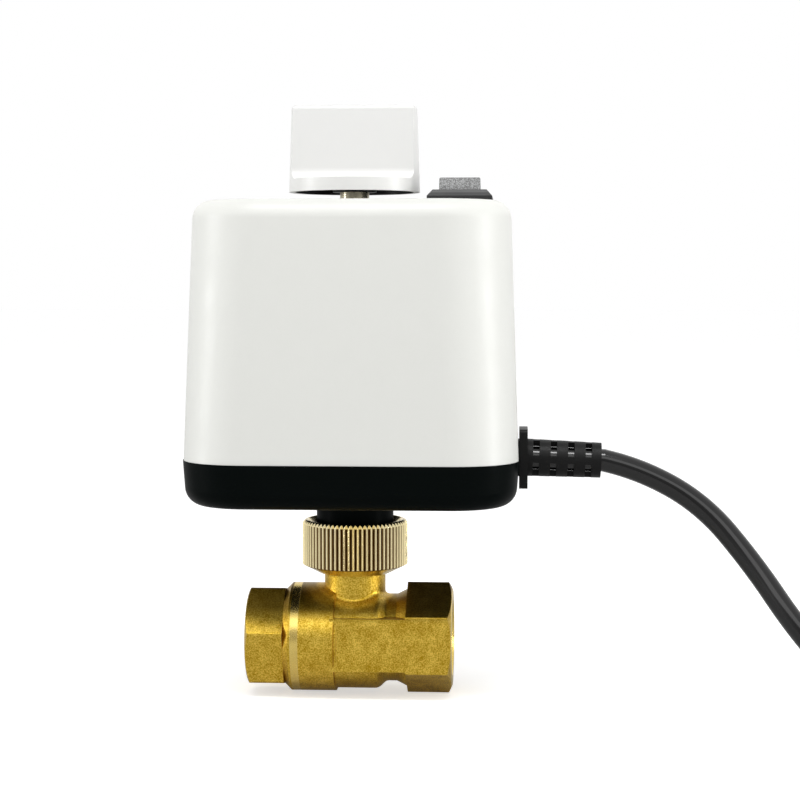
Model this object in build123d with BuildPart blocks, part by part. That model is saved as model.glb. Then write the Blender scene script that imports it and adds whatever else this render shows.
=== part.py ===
from build123d import *
import math
import os

os.makedirs("parts", exist_ok=True)

# Motorized ball valve, in millimetres, Z up.
# X is the flow axis. The origin is where the inlet's thread wall begins.
# The stem stands on Z over the ball, and every height is measured from the flow axis.

# Clearances
RUN_GAP = 0.08  # running fit, on the radius
SEAT_GAP = 0.05  # seated fit, on the radius
FREE_GAP = 0.3  # between pieces that pass each other
BALL_GAP = 0.10  # between the ball and its seats

# Pipe ports
PORT_BORE_D = 18.63  # minor diameter of a half inch pipe thread
PORT_DEPTH = 12.0
PORT_CHAMFER = 1.3
STEM_X = 28.0  # inlet's thread wall to the stem axis
OUTLET_REACH = 27.1  # stem axis to the outlet face
WATERWAY_D = 12.5

# Body and end cap, their places along X counted from the stem axis
CAP_HEX_AF = 26.0
CAP_HEX_TURN_D = 29.6
CAP_HEX_TILT = 11.0
CAP_THREAD_D = 23.9
CAP_THREAD_LENGTH = 7.7
CAP_NOSE_D = 21.0
JOINT_X = -18.9
BODY_D = 29.8
BODY_END_CHAMFER = 1.6
CHEST_D = 28.2
CHEST_START = -4.2
CHEST_END = 6.7
WAIST_D = 24.0
WAIST_START = 8.9
WAIST_END = 11.8
WAIST_CREST_R = 2.5
WAIST_ROOT_R = 1.5
OUTLET_HEX_AF = 26.8
OUTLET_HEX_TURN_D = 30.8
OUTLET_HEX_START = 14.6
HEX_END_ANGLE = 25.0
HEX_END_FLAT_BITE = 0.6  # how far the end cone cuts into the flats, on the diameter
PAD_HALF_HEIGHT = 7.2
PAD_START = -6.0
CHAMBER_D = 21.2

# Neck and bonnet
NECK_D = 16.8
NECK_FILLET = 1.2
BONNET_THREAD_D = 18.0
BONNET_THREAD_Z = 20.4
BONNET_TOP_Z = 26.0
BONNET_CHAMFER = 0.8

# Ball, seats and stem
BALL_D = 20.0
BALL_SLOT_W = 5.2
BALL_SLOT_DEPTH = 2.8
SEAT_D = 18.0
SEAT_T = 3.5
SEAT_BORE_D = 13.0
SEAT_FACE_X = 6.0  # the seat's ball side, from the stem axis
STEM_D = 8.0
STEM_TANG_W = 5.0
STEM_SHOULDER_D = 11.0
STEM_SHOULDER_T = 1.4
STEM_SHOULDER_Z = 10.7
WASHER_T = 0.6
STEM_SQUARE = 5.6
STEM_SQUARE_Z = 25.0
STEM_TOP_Z = 36.0
RING_WIRE_D = 1.8
RING_PITCH = 4.0
RING_Z = 16.0

# Coupling nut
NUT_D = 29.0
NUT_BOTTOM_Z = 18.2
NUT_TOP_Z = 32.9
NUT_STEP_Z = 25.3
NUT_RIDGES = 70
NUT_RIDGE_DEPTH = 0.65
NUT_FOOT_D = 19.6
NUT_FOOT_RISE = 2.4
NUT_MOUTH_D = 26.0
NUT_MOUTH_DEPTH = 2.4
NUT_RIM_R = 1.3
SNAP_WIRE_D = 1.2
SNAP_ARC = 330.0
SNAP_Z = 28.2

# Housing
HOUSING_L = 90.0
HOUSING_W = 64.0
HOUSING_R = 18.0
COVER_TOP_L = 85.4
COVER_TOP_R = 20.0
COVER_TOP_Z = 120.0
COVER_EDGE_R = 5.0
COVER_WALL = 2.4
SEAM_Z = 50.6
BASE_LIP = 0.2
BASE_DRAFT = 0.85
BASE_BOTTOM_Z = 38.5
BASE_EDGE_R = 5.0
BASE_WALL = 3.0
BASE_FLOOR = 2.5
COLLAR_D = 21.2
GASKET_W = 1.1
GASKET_H = 1.0
SCREW_X = HOUSING_L / 2 - 12.0
SCREW_Y = HOUSING_W / 2 - 11.5
BOSS_D = 7.2
SCREW_D = 3.0
SCREW_HEAD_D = 5.6
SCREW_HEAD_H = 2.2
SCREW_LENGTH = 22.0
SCREW_SINK = 0.2  # head under the base's outside

# Gearbox
PLATE_T = 1.5
LOWER_PLATE_Z = 56.0
PLATE_LEFT = HOUSING_L / 2 - 4.5  # stem axis to the left edge, clear of the cover
PLATE_RIGHT = HOUSING_L / 2 - 9.5
PLATE_HALF_W = 18.2
PILLAR_D = 6.0
PILLAR_INSET = 3.5  # pillar axis in from the plate's edge
PILLAR_LEFT_X = PILLAR_INSET - PLATE_LEFT
PILLAR_LEFT_Y = 14.5
PILLAR_RIGHT_X = PLATE_RIGHT - PILLAR_INSET
PILLAR_RIGHT_Y = 12.5
GEAR_MODULE = 0.8
DEDENDUM = 1.25  # tooth depth under the pitch circle, in modules
PRESSURE_ANGLE = math.radians(25)
BACKLASH = 0.16
DRIVE_TEETH = 48
PINION_TEETH = 12
WHEEL_TEETH = 24
DRIVE_GEAR_W = 5.0
GEAR_HOLES = 6
GEAR_HOLE_R = 11.52
GEAR_HOLE_D = 5.76
WHEEL_W = 3.0
GEAR_SIDE_GAP = 2.5
WHEEL_GAP = 0.8
IDLER_ANGLE = 150.0
MOTOR_ANGLE = 254.0
AXLE_D = 3.0
AXLE_HUB_D = 6.0
MOTOR_D = 28.0
MOTOR_H = 24.0
MOTOR_NOSE_D = 8.0
MOTOR_BORE_DEPTH = 6.0
MOTOR_SCREW_SPREAD = 8.4
MOTOR_SCREW_D = 2.5
MOTOR_SCREW_HEAD_D = 4.0
MOTOR_SCREW_HEAD_H = 1.4
MOTOR_SHAFT_D = 3.0
BUSH_D = 13.0
BUSH_FLANGE_D = 16.0
BUSH_FLANGE_T = 1.0

# Drive shaft, from the stem up to the knob
COUPLING_D = 13.0
COUPLING_BOTTOM_Z = 27.0
COUPLING_TOP_Z = 46.0
SOCKET_TOP_Z = 37.0
SHAFT_D = 10.0
SHAFT_TOP_D = 8.0
SHAFT_STEP_Z = 76.0
SHAFT_TOP_Z = 134.0
SHAFT_FLAT = 1.0
SHAFT_FLAT_LENGTH = 9.0

# Cams and limit switches
CAM_LOBE_D = 16.0
CAM_ROOT_D = 12.4
CAM_H = 4.0
CAM_LIFT_ARC = 100.0
SWITCH_RISE = 10.0  # upper plate to the lower limit switch
SWITCH_L = 20.0
SWITCH_DEPTH = 10.0
SWITCH_H = 6.0
SWITCH_BUTTON = 1.2
SWITCH_HOLE_PITCH = 9.5
SWITCH_HOLE_INSET = 7.2
SWITCH_POST_D = 2.4
SWITCH_POST_FOOT_D = 5.0
SWITCH_SPACER_T = 1.0
SWITCH_NUT_H = 2.2

# Knob
KNOB_D = 35.8
KNOB_TOP_D = 34.2
KNOB_BOTTOM_Z = 122.6
KNOB_SKIRT_H = 3.4
KNOB_TOP_Z = 146.0
KNOB_GRIP_W = 12.4
KNOB_GRIP_TOP_W = 10.6
KNOB_SCOOP_R = 3.0
KNOB_EDGE_R = 1.2
KNOB_WALL = 1.8
KNOB_BOSS_D = 12.0
KNOB_SCREW_HEAD_D = 6.0
KNOB_SCREW_HEAD_H = 2.4
KNOB_SCREW_SINK = 4.0

# Rocker switch
ROCKER_X = 29.0
BEZEL_L = 17.4
BEZEL_TOP_L = 14.4
BEZEL_W = 25.0
BEZEL_H = 2.9
BEZEL_EDGE_H = 1.2
ROCKER_L = 11.0
ROCKER_R = 10.4
ROCKER_PIVOT_DROP = 3.0  # pivot below the bezel's top
ROCKER_END_RISE = 4.7
ROCKER_MID_RISE = 2.4
ROCKER_SKIRT = 4.0
ROCKER_EDGE_R = 0.8
ROCKER_SIDE_R = 0.4
ROCKER_TILT = 12.0
ROCKER_PIN_D = 2.0
ROCKER_PIN_L = 1.2
ROCKER_BOX_WALL = 1.4
ROCKER_BOX_DEPTH = 14.0
BLADE_L = 8.0
BLADE_W = 4.8
BLADE_T = 0.8
BLADE_HEAD_W = 3.0
BLADE_PITCH = 7.0

# Gland and strain relief
CABLE_D = 6.2
GLAND_Z = 50.2
GLAND_DROOP = 2.0
FLANGE_T = 2.3
FLANGE_W = 13.0
FLANGE_H = 16.2
GLAND_NECK_W = 8.4
GLAND_NECK_H = 9.6
GLAND_BACK_T = 2.0
RELIEF_L = 20.0
RELIEF_D = 10.3
RELIEF_END_D = 9.6
RELIEF_SLOTS = 4
RELIEF_SLOT_W = 1.75
RELIEF_SLOT_PITCH = 4.75
RELIEF_SLOT_START = 2.3
RELIEF_WEB = 1.9

# Terminal block on the base's floor
BLOCK_X = 26.0
BLOCK_L = 8.0
BLOCK_W = 15.0
BLOCK_H = 9.0
BLOCK_PITCH = 5.0
CORE_D = 1.9
CORE_STANDOFF = 1.14  # cable axis to a core's axis
JACKET_END_X = 37.0

# Cable, from the gland down to the level of the valve's underside, then its coil
FLOOR_Z = -OUTLET_HEX_TURN_D / 2
TIE_T = 0.5
TIE_GAP = 0.25  # strap to the strands, which lie at a slope
TIE_W = 3.0
CABLE_REST_Z = FLOOR_Z + TIE_T + SEAT_GAP + CABLE_D / 2
CABLE_EXIT_GAP = 0.7  # relief's end to where the cable starts to bend
ARC_SHARE = 0.45  # of the shorter run, for each corner's arc
COIL_X = 164.0  # coil's axis, counted from the stem axis
COIL_Y = -40.5
COIL_R = 24.0
COIL_GAP = 1.2  # between one turn and the next above it
COIL_TURNS = 2.5
COIL_LEAD = 21.0  # straight run that climbs to the coil's first turn
CORE_BEND_R = 8.0
CORE_FAN = 3.0  # each core's bend is wider than the last
CORE_TURN = 100.0
CORE_TURN_STEP = 12.0
CORE_PLACES = (-30.0, 90.0, 210.0)
CORE_TAIL_L = 7.4
CORE_TIP_L = 6.0
CORE_TIP_D = 1.2
TIE_HEAD_L = 5.0
TIE_HEAD_W = 4.0
TIE_HEAD_H = 3.4

# Places worked out from the sizes above
COIL_PITCH = CABLE_D + COIL_GAP
COIL_SLOPE = COIL_PITCH / (2 * math.pi * COIL_R)
COIL_Z = CABLE_REST_Z + COIL_LEAD * COIL_SLOPE
INLET_FACE_X = -PORT_CHAMFER
COVER_DRAFT = (HOUSING_L - COVER_TOP_L) / 2
COVER_TOP_W = HOUSING_W - 2 * COVER_DRAFT
PITCH_R = GEAR_MODULE * DRIVE_TEETH / 2
PINION_R = GEAR_MODULE * PINION_TEETH / 2
WHEEL_R = GEAR_MODULE * WHEEL_TEETH / 2
GEAR_Z = LOWER_PLATE_Z + PLATE_T + GEAR_SIDE_GAP
WHEEL_Z = GEAR_Z + DRIVE_GEAR_W + WHEEL_GAP
UPPER_PLATE_Z = WHEEL_Z + WHEEL_W + GEAR_SIDE_GAP
MOTOR_Z = UPPER_PLATE_Z + PLATE_T
SWITCH_Z = MOTOR_Z + SWITCH_RISE
SWITCH_STEP = SWITCH_H + SWITCH_SPACER_T
SWITCH_FACE_X = CAM_LOBE_D / 2 + FREE_GAP + SWITCH_BUTTON
SWITCH_TOP_Z = SWITCH_Z + SWITCH_H + SWITCH_STEP
PIVOT_Z = COVER_TOP_Z + BEZEL_H - ROCKER_PIVOT_DROP
ROCKER_BOX_L = ROCKER_L + 2 * FREE_GAP + 2 * ROCKER_BOX_WALL
ROCKER_BOX_W = 2 * (ROCKER_R + FREE_GAP + ROCKER_BOX_WALL)
ROCKER_BOX_Z = COVER_TOP_Z - ROCKER_BOX_DEPTH


def stem_plane(height):
    """Level plane centred on the stem axis."""
    return Plane((STEM_X, 0, height))


def off_stem(x, y, height):
    """Level plane at a place counted from the stem axis."""
    return Plane((STEM_X + x, y, height))


def across_flow(x):
    """Upright plane square to the flow, at a place counted from the stem axis."""
    return Plane((STEM_X + x, 0, 0), x_dir=(0, 1, 0), z_dir=(1, 0, 0))


def polar(radius, degrees):
    """Point at a radius and an angle."""
    return (radius * math.cos(math.radians(degrees)), radius * math.sin(math.radians(degrees)))


def involute(angle):
    return math.tan(angle) - angle


def gear_outline(teeth, tooth_at):
    """Closed outline of a spur gear with involute flanks, one tooth centred at an angle in degrees."""
    pitch_radius = GEAR_MODULE * teeth / 2
    base_radius = pitch_radius * math.cos(PRESSURE_ANGLE)
    root_radius = pitch_radius - DEDENDUM * GEAR_MODULE
    tip_radius = pitch_radius + GEAR_MODULE
    half_tooth = (math.pi * GEAR_MODULE / 2 - BACKLASH) / (2 * pitch_radius)
    flank = []
    for radius in (root_radius, pitch_radius, (pitch_radius + tip_radius) / 2, tip_radius):
        pressure = math.acos(min(1.0, base_radius / radius))
        spread = half_tooth + involute(PRESSURE_ANGLE) - involute(pressure)
        flank.append((radius, math.degrees(spread)))
    points = []
    for tooth in range(teeth):
        middle = tooth_at + tooth * 360 / teeth
        points += [polar(radius, middle - spread) for radius, spread in flank]
        points += [polar(radius, middle + spread) for radius, spread in reversed(flank)]
    return points


STEM_AXIS = Axis((STEM_X, 0, 0), (0, 0, 1))
FLOW_AXIS = Axis((STEM_X, 0, 0), (1, 0, 0))
SIDE_VIEW = Plane((STEM_X, 0, 0), x_dir=(1, 0, 0), z_dir=(0, -1, 0))
IDLER_X, IDLER_Y = polar(PITCH_R + PINION_R, IDLER_ANGLE)
MOTOR_OFF_X, MOTOR_OFF_Y = polar(WHEEL_R + PINION_R, MOTOR_ANGLE)
MOTOR_X = IDLER_X + MOTOR_OFF_X
MOTOR_Y = IDLER_Y + MOTOR_OFF_Y
HEX_END_RUN = math.tan(math.radians(HEX_END_ANGLE))


def turned_hexagon(across_flats, turned, start, end, rotation, chamfer_start, chamfer_end):
    """Hexagonal bar along the flow with its corners turned off, and its chosen ends coned."""
    radius = across_flats / math.sqrt(3)
    with BuildPart() as bar:
        with BuildSketch(across_flow(start)):
            RegularPolygon(radius, 6, rotation=rotation)
        extrude(amount=end - start)
        drop = (turned - across_flats + HEX_END_FLAT_BITE) / 2
        outer = turned / 2
        inner = outer - drop
        with BuildSketch(SIDE_VIEW) as profile:
            with BuildLine():
                Polyline(
                    (start, 0),
                    (start, inner if chamfer_start else outer),
                    (start + drop * HEX_END_RUN, outer),
                    (end - drop * HEX_END_RUN, outer),
                    (end, inner if chamfer_end else outer),
                    (end, 0),
                    close=True,
                )
            make_face()
        revolve(profile.sketch, FLOW_AXIS, mode=Mode.INTERSECT)
    return bar.part


# Valve body: a forging with a round chamber, a waist, a hexagon at the outlet and a neck
outlet_hexagon = turned_hexagon(
    OUTLET_HEX_AF, OUTLET_HEX_TURN_D, OUTLET_HEX_START, OUTLET_REACH, 30, False, True
)
with BuildPart() as valve_body:
    with BuildSketch(SIDE_VIEW):
        with BuildLine():
            Polyline(
                (JOINT_X + BODY_END_CHAMFER, 0),
                (JOINT_X + BODY_END_CHAMFER, CHEST_D / 2),
                (CHEST_END, CHEST_D / 2),
                (WAIST_START, WAIST_D / 2),
                (WAIST_END, WAIST_D / 2),
                (OUTLET_HEX_START, OUTLET_HEX_AF / 2),
                (OUTLET_HEX_START, 0),
                close=True,
            )
        make_face()
        # Forged rounds where the chest falls to the waist
        fillet(vertices().group_by(Axis.Y)[-1].sort_by(Axis.X)[-1], WAIST_CREST_R)
        fillet(vertices().sort_by(lambda corner: abs(corner.X - WAIST_START))[0], WAIST_ROOT_R)
    revolve(axis=FLOW_AXIS)
    with BuildSketch(Plane((STEM_X, 0, 0))):
        Circle(NECK_D / 2)
    extrude(amount=BONNET_THREAD_Z)
    # Saddle where the neck flows into the chest
    saddle = [
        edge
        for edge in valve_body.edges()
        if edge.bounding_box().min.Z > CHEST_D / 4
        and edge.bounding_box().max.Z < BODY_D / 2 + 0.5
        and abs(math.hypot((edge @ 0.3).X - STEM_X, (edge @ 0.3).Y) - NECK_D / 2) < 0.01
        and abs(math.hypot((edge @ 0.7).X - STEM_X, (edge @ 0.7).Y) - NECK_D / 2) < 0.01
    ]
    fillet(saddle, NECK_FILLET)
    # The chest is pressed flat on both sides, level with the hexagon
    with BuildSketch(across_flow(CHEST_START)):
        for side in (-1, 1):
            with Locations((side * OUTLET_HEX_AF, 0)):
                Rectangle(OUTLET_HEX_AF, 2 * BODY_D)
    extrude(amount=OUTLET_HEX_START - CHEST_START, mode=Mode.SUBTRACT)
    with BuildSketch(across_flow(PAD_START)):
        Rectangle(OUTLET_HEX_AF, 2 * PAD_HALF_HEIGHT)
    extrude(amount=OUTLET_HEX_START - PAD_START + 1)
    with BuildSketch(SIDE_VIEW):
        with BuildLine():
            Polyline(
                (JOINT_X, 0),
                (JOINT_X, BODY_D / 2 - BODY_END_CHAMFER),
                (JOINT_X + BODY_END_CHAMFER, BODY_D / 2),
                (CHEST_START - (BODY_D - CHEST_D) / 2, BODY_D / 2),
                (CHEST_START, CHEST_D / 2 - BODY_END_CHAMFER),
                (CHEST_START, 0),
                close=True,
            )
        make_face()
    revolve(axis=FLOW_AXIS)
    add(outlet_hexagon)
    with BuildSketch(stem_plane(BONNET_THREAD_Z)):
        Circle(BONNET_THREAD_D / 2)
    extrude(amount=BONNET_TOP_Z - BONNET_THREAD_Z)
    chamfer(valve_body.faces().sort_by(Axis.Z)[-1].edges(), BONNET_CHAMFER)
    # Chamber, seat pocket, waterway and outlet port, bored along the flow
    with BuildSketch(SIDE_VIEW):
        with BuildLine():
            Polyline(
                (JOINT_X, 0),
                (JOINT_X, CAP_THREAD_D / 2 + SEAT_GAP),
                (JOINT_X + CAP_THREAD_LENGTH + FREE_GAP, CAP_THREAD_D / 2 + SEAT_GAP),
                (JOINT_X + CAP_THREAD_LENGTH + FREE_GAP, CHAMBER_D / 2),
                (SEAT_FACE_X, CHAMBER_D / 2),
                (SEAT_FACE_X, SEAT_D / 2 + SEAT_GAP),
                (SEAT_FACE_X + SEAT_T, SEAT_D / 2 + SEAT_GAP),
                (SEAT_FACE_X + SEAT_T, WATERWAY_D / 2),
                (OUTLET_REACH - PORT_CHAMFER - PORT_DEPTH, WATERWAY_D / 2),
                (OUTLET_REACH - PORT_CHAMFER - PORT_DEPTH, PORT_BORE_D / 2),
                (OUTLET_REACH - PORT_CHAMFER, PORT_BORE_D / 2),
                (OUTLET_REACH, PORT_BORE_D / 2 + PORT_CHAMFER),
                (OUTLET_REACH, 0),
                close=True,
            )
        make_face()
    revolve(axis=FLOW_AXIS, mode=Mode.SUBTRACT)
    # Stem bore with the pocket for the shoulder and its washer
    with BuildSketch(stem_plane(0)):
        Circle(STEM_SHOULDER_D / 2 + RUN_GAP)
    extrude(amount=STEM_SHOULDER_Z + STEM_SHOULDER_T + WASHER_T, mode=Mode.SUBTRACT)
    with BuildSketch(stem_plane(0)):
        Circle(STEM_D / 2 + RUN_GAP)
    extrude(amount=BONNET_TOP_Z, mode=Mode.SUBTRACT)
valve_body.part.label = "valve_body"

# End cap: screwed into the body, it holds the inlet seat
cap_hexagon = turned_hexagon(
    CAP_HEX_AF, CAP_HEX_TURN_D, INLET_FACE_X - STEM_X, JOINT_X, -CAP_HEX_TILT, True, False
)
CAP_NOSE_X = -SEAT_FACE_X - SEAT_T / 2
with BuildPart() as end_cap:
    add(cap_hexagon)
    with BuildSketch(SIDE_VIEW):
        with BuildLine():
            Polyline(
                (JOINT_X, 0),
                (JOINT_X, CAP_THREAD_D / 2),
                (JOINT_X + CAP_THREAD_LENGTH, CAP_THREAD_D / 2),
                (JOINT_X + CAP_THREAD_LENGTH, CAP_NOSE_D / 2),
                (CAP_NOSE_X, CAP_NOSE_D / 2),
                (CAP_NOSE_X, 0),
                close=True,
            )
        make_face()
    revolve(axis=FLOW_AXIS)
    with BuildSketch(SIDE_VIEW):
        with BuildLine():
            Polyline(
                (-STEM_X - PORT_CHAMFER, 0),
                (-STEM_X - PORT_CHAMFER, PORT_BORE_D / 2 + PORT_CHAMFER),
                (-STEM_X, PORT_BORE_D / 2),
                (-STEM_X + PORT_DEPTH, PORT_BORE_D / 2),
                (-STEM_X + PORT_DEPTH, WATERWAY_D / 2),
                (-SEAT_FACE_X - SEAT_T, WATERWAY_D / 2),
                (-SEAT_FACE_X - SEAT_T, SEAT_D / 2 + SEAT_GAP),
                (CAP_NOSE_X, SEAT_D / 2 + SEAT_GAP),
                (CAP_NOSE_X, 0),
                close=True,
            )
        make_face()
    revolve(axis=FLOW_AXIS, mode=Mode.SUBTRACT)
end_cap.part.label = "end_cap"


def seat_ring(label, side):
    """Seat on one side of the ball, hollowed to the ball's round."""
    reach = BALL_D / 2 + BALL_GAP
    bore_angle = math.degrees(math.asin(SEAT_BORE_D / 2 / reach))
    face_angle = math.degrees(math.acos(SEAT_FACE_X / reach))
    hollow = [polar(reach, at) for at in (bore_angle, (bore_angle + face_angle) / 2, face_angle)]
    back = SEAT_FACE_X + SEAT_T
    with BuildPart() as ring:
        with BuildSketch(SIDE_VIEW):
            with BuildLine():
                ThreePointArc(*[(side * x, height) for x, height in hollow])
                Polyline(
                    (side * hollow[2][0], hollow[2][1]),
                    (side * SEAT_FACE_X, SEAT_D / 2),
                    (side * back, SEAT_D / 2),
                    (side * back, SEAT_BORE_D / 2),
                    (side * hollow[0][0], hollow[0][1]),
                )
            make_face()
        revolve(axis=FLOW_AXIS)
    ring.part.label = label
    return ring


inlet_seat = seat_ring("inlet_seat", -1)
outlet_seat = seat_ring("outlet_seat", 1)

# Ball: open along the flow at rest, with a slot for the stem across the flow
with BuildPart() as ball:
    with Locations((STEM_X, 0, 0)):
        Sphere(BALL_D / 2)
    with BuildSketch(across_flow(-BALL_D / 2)):
        Circle(WATERWAY_D / 2)
    extrude(amount=BALL_D, mode=Mode.SUBTRACT)
    with BuildSketch(stem_plane(BALL_D / 2 - BALL_SLOT_DEPTH)):
        Rectangle(BALL_SLOT_W, BALL_D)
    extrude(amount=BALL_SLOT_DEPTH, mode=Mode.SUBTRACT)
ball.part.label = "ball"

# Stem: tang in the ball's slot, shoulder under the bonnet, two ring grooves, square top
TANG_BOTTOM_Z = BALL_D / 2 - BALL_SLOT_DEPTH + RUN_GAP
with BuildPart() as stem:
    with BuildSketch(stem_plane(STEM_SHOULDER_Z)):
        Circle(STEM_SHOULDER_D / 2)
    extrude(amount=STEM_SHOULDER_T)
    with BuildSketch(stem_plane(STEM_SHOULDER_Z)):
        Circle(STEM_D / 2)
    extrude(amount=STEM_TOP_Z - STEM_SHOULDER_Z)
    with BuildSketch(stem_plane(TANG_BOTTOM_Z)):
        Rectangle(STEM_TANG_W, STEM_D)
    extrude(amount=STEM_SHOULDER_Z - TANG_BOTTOM_Z)
    with BuildSketch(stem_plane(STEM_SQUARE_Z)):
        Circle(STEM_D)
        Rectangle(STEM_SQUARE, STEM_SQUARE, mode=Mode.SUBTRACT)
    extrude(amount=STEM_TOP_Z - STEM_SQUARE_Z, mode=Mode.SUBTRACT)
    for groove_z in (RING_Z, RING_Z + RING_PITCH):
        with BuildSketch(stem_plane(groove_z - RING_WIRE_D / 2)):
            Circle(STEM_D)
            Circle(STEM_D / 2 + RUN_GAP / 2 - RING_WIRE_D, mode=Mode.SUBTRACT)
        extrude(amount=RING_WIRE_D, mode=Mode.SUBTRACT)
stem.part.label = "stem"

# The two rings lie in the stem's grooves
with BuildPart() as stem_rings:
    for groove_z in (RING_Z, RING_Z + RING_PITCH):
        with Locations((STEM_X, 0, groove_z)):
            Torus(STEM_D / 2 + RUN_GAP / 2 - RING_WIRE_D / 2, RING_WIRE_D / 2)
stem_rings.part.label = "stem_rings"

with BuildPart() as thrust_washer:
    with BuildSketch(stem_plane(STEM_SHOULDER_Z + STEM_SHOULDER_T)):
        Circle(STEM_SHOULDER_D / 2)
        Circle(STEM_D / 2 + RUN_GAP, mode=Mode.SUBTRACT)
    extrude(amount=WASHER_T)
thrust_washer.part.label = "thrust_washer"

# Coupling nut: straight knurl, coned foot, rounded rim, funnel mouth, groove for the snap ring
NUT_BORE_R = BONNET_THREAD_D / 2 + RUN_GAP
NUT_UPPER_R = COLLAR_D / 2 + RUN_GAP
RIDGE_STEP = 360 / NUT_RIDGES
with BuildPart() as coupling_nut:
    with BuildSketch(stem_plane(NUT_BOTTOM_Z)):
        with BuildLine():
            ridge_points = []
            for ridge in range(NUT_RIDGES):
                ridge_points.append(polar(NUT_D / 2, ridge * RIDGE_STEP))
                ridge_points.append(
                    polar(NUT_D / 2 - NUT_RIDGE_DEPTH, (ridge + 0.5) * RIDGE_STEP)
                )
            Polyline(*ridge_points, close=True)
        make_face()
    extrude(amount=NUT_TOP_Z - NUT_BOTTOM_Z)
    with BuildSketch(SIDE_VIEW):
        with BuildLine():
            foot = (NUT_FOOT_D / 2, NUT_BOTTOM_Z)
            side_low = (NUT_D / 2, NUT_BOTTOM_Z + NUT_FOOT_RISE)
            side_high = (NUT_D / 2, NUT_TOP_Z - NUT_RIM_R)
            rim = (NUT_D / 2 - NUT_RIM_R, NUT_TOP_Z)
            Polyline((0, NUT_BOTTOM_Z), foot, side_low, side_high)
            RadiusArc(side_high, rim, -NUT_RIM_R)
            Polyline(rim, (0, NUT_TOP_Z), (0, NUT_BOTTOM_Z))
        make_face()
    revolve(axis=STEM_AXIS, mode=Mode.INTERSECT)
    with BuildSketch(SIDE_VIEW):
        with BuildLine():
            Polyline(
                (0, NUT_BOTTOM_Z),
                (NUT_BORE_R, NUT_BOTTOM_Z),
                (NUT_BORE_R, NUT_STEP_Z),
                (NUT_UPPER_R, NUT_STEP_Z),
                (NUT_UPPER_R, NUT_TOP_Z - NUT_MOUTH_DEPTH),
                (NUT_MOUTH_D / 2, NUT_TOP_Z),
                (0, NUT_TOP_Z),
                close=True,
            )
        make_face()
    revolve(axis=STEM_AXIS, mode=Mode.SUBTRACT)
    with Locations((STEM_X, 0, SNAP_Z)):
        Torus(NUT_UPPER_R, SNAP_WIRE_D / 2 + RUN_GAP, mode=Mode.SUBTRACT)
coupling_nut.part.label = "coupling_nut"

# Snap ring: open round wire, half in the collar's groove and half in the nut's
with BuildPart() as snap_ring:
    with BuildSketch(SIDE_VIEW):
        with Locations((NUT_UPPER_R, SNAP_Z)):
            Circle(SNAP_WIRE_D / 2)
    revolve(axis=STEM_AXIS, revolution_arc=SNAP_ARC)
snap_ring.part.label = "snap_ring"


BASE_FLOOR_Z = BASE_BOTTOM_Z + BASE_FLOOR
BASE_INSET = -BASE_LIP
CORNER_SPOTS = [(x, y) for x in (-SCREW_X, SCREW_X) for y in (-SCREW_Y, SCREW_Y)]
PILLAR_SPOTS = [
    (PILLAR_LEFT_X, -PILLAR_LEFT_Y),
    (PILLAR_LEFT_X, PILLAR_LEFT_Y),
    (PILLAR_RIGHT_X, -PILLAR_RIGHT_Y),
    (PILLAR_RIGHT_X, PILLAR_RIGHT_Y),
]
SCREW_HOLE_D = SCREW_D + 2 * SEAT_GAP


def housing_outline(inset, mode=Mode.ADD):
    """The housing's rounded rectangle at the seam, drawn in by an inset."""
    RectangleRounded(
        HOUSING_L - 2 * inset, HOUSING_W - 2 * inset, HOUSING_R - inset, mode=mode
    )


def cover_outline(inset):
    """The cover's rounded rectangle at its top, drawn in by an inset."""
    RectangleRounded(
        COVER_TOP_L - 2 * inset, COVER_TOP_W - 2 * inset, COVER_TOP_R - inset
    )


def gland_neck(gap=0):
    """Outline of the gland's neck, or of its opening, half in the base and half in the cover."""
    with Locations((0, GLAND_Z)):
        Rectangle(GLAND_NECK_W + 2 * gap, GLAND_NECK_H)


NOTCH_X = HOUSING_L / 2 - 3 * BASE_WALL
NOTCH_L = 4 * BASE_WALL

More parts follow.
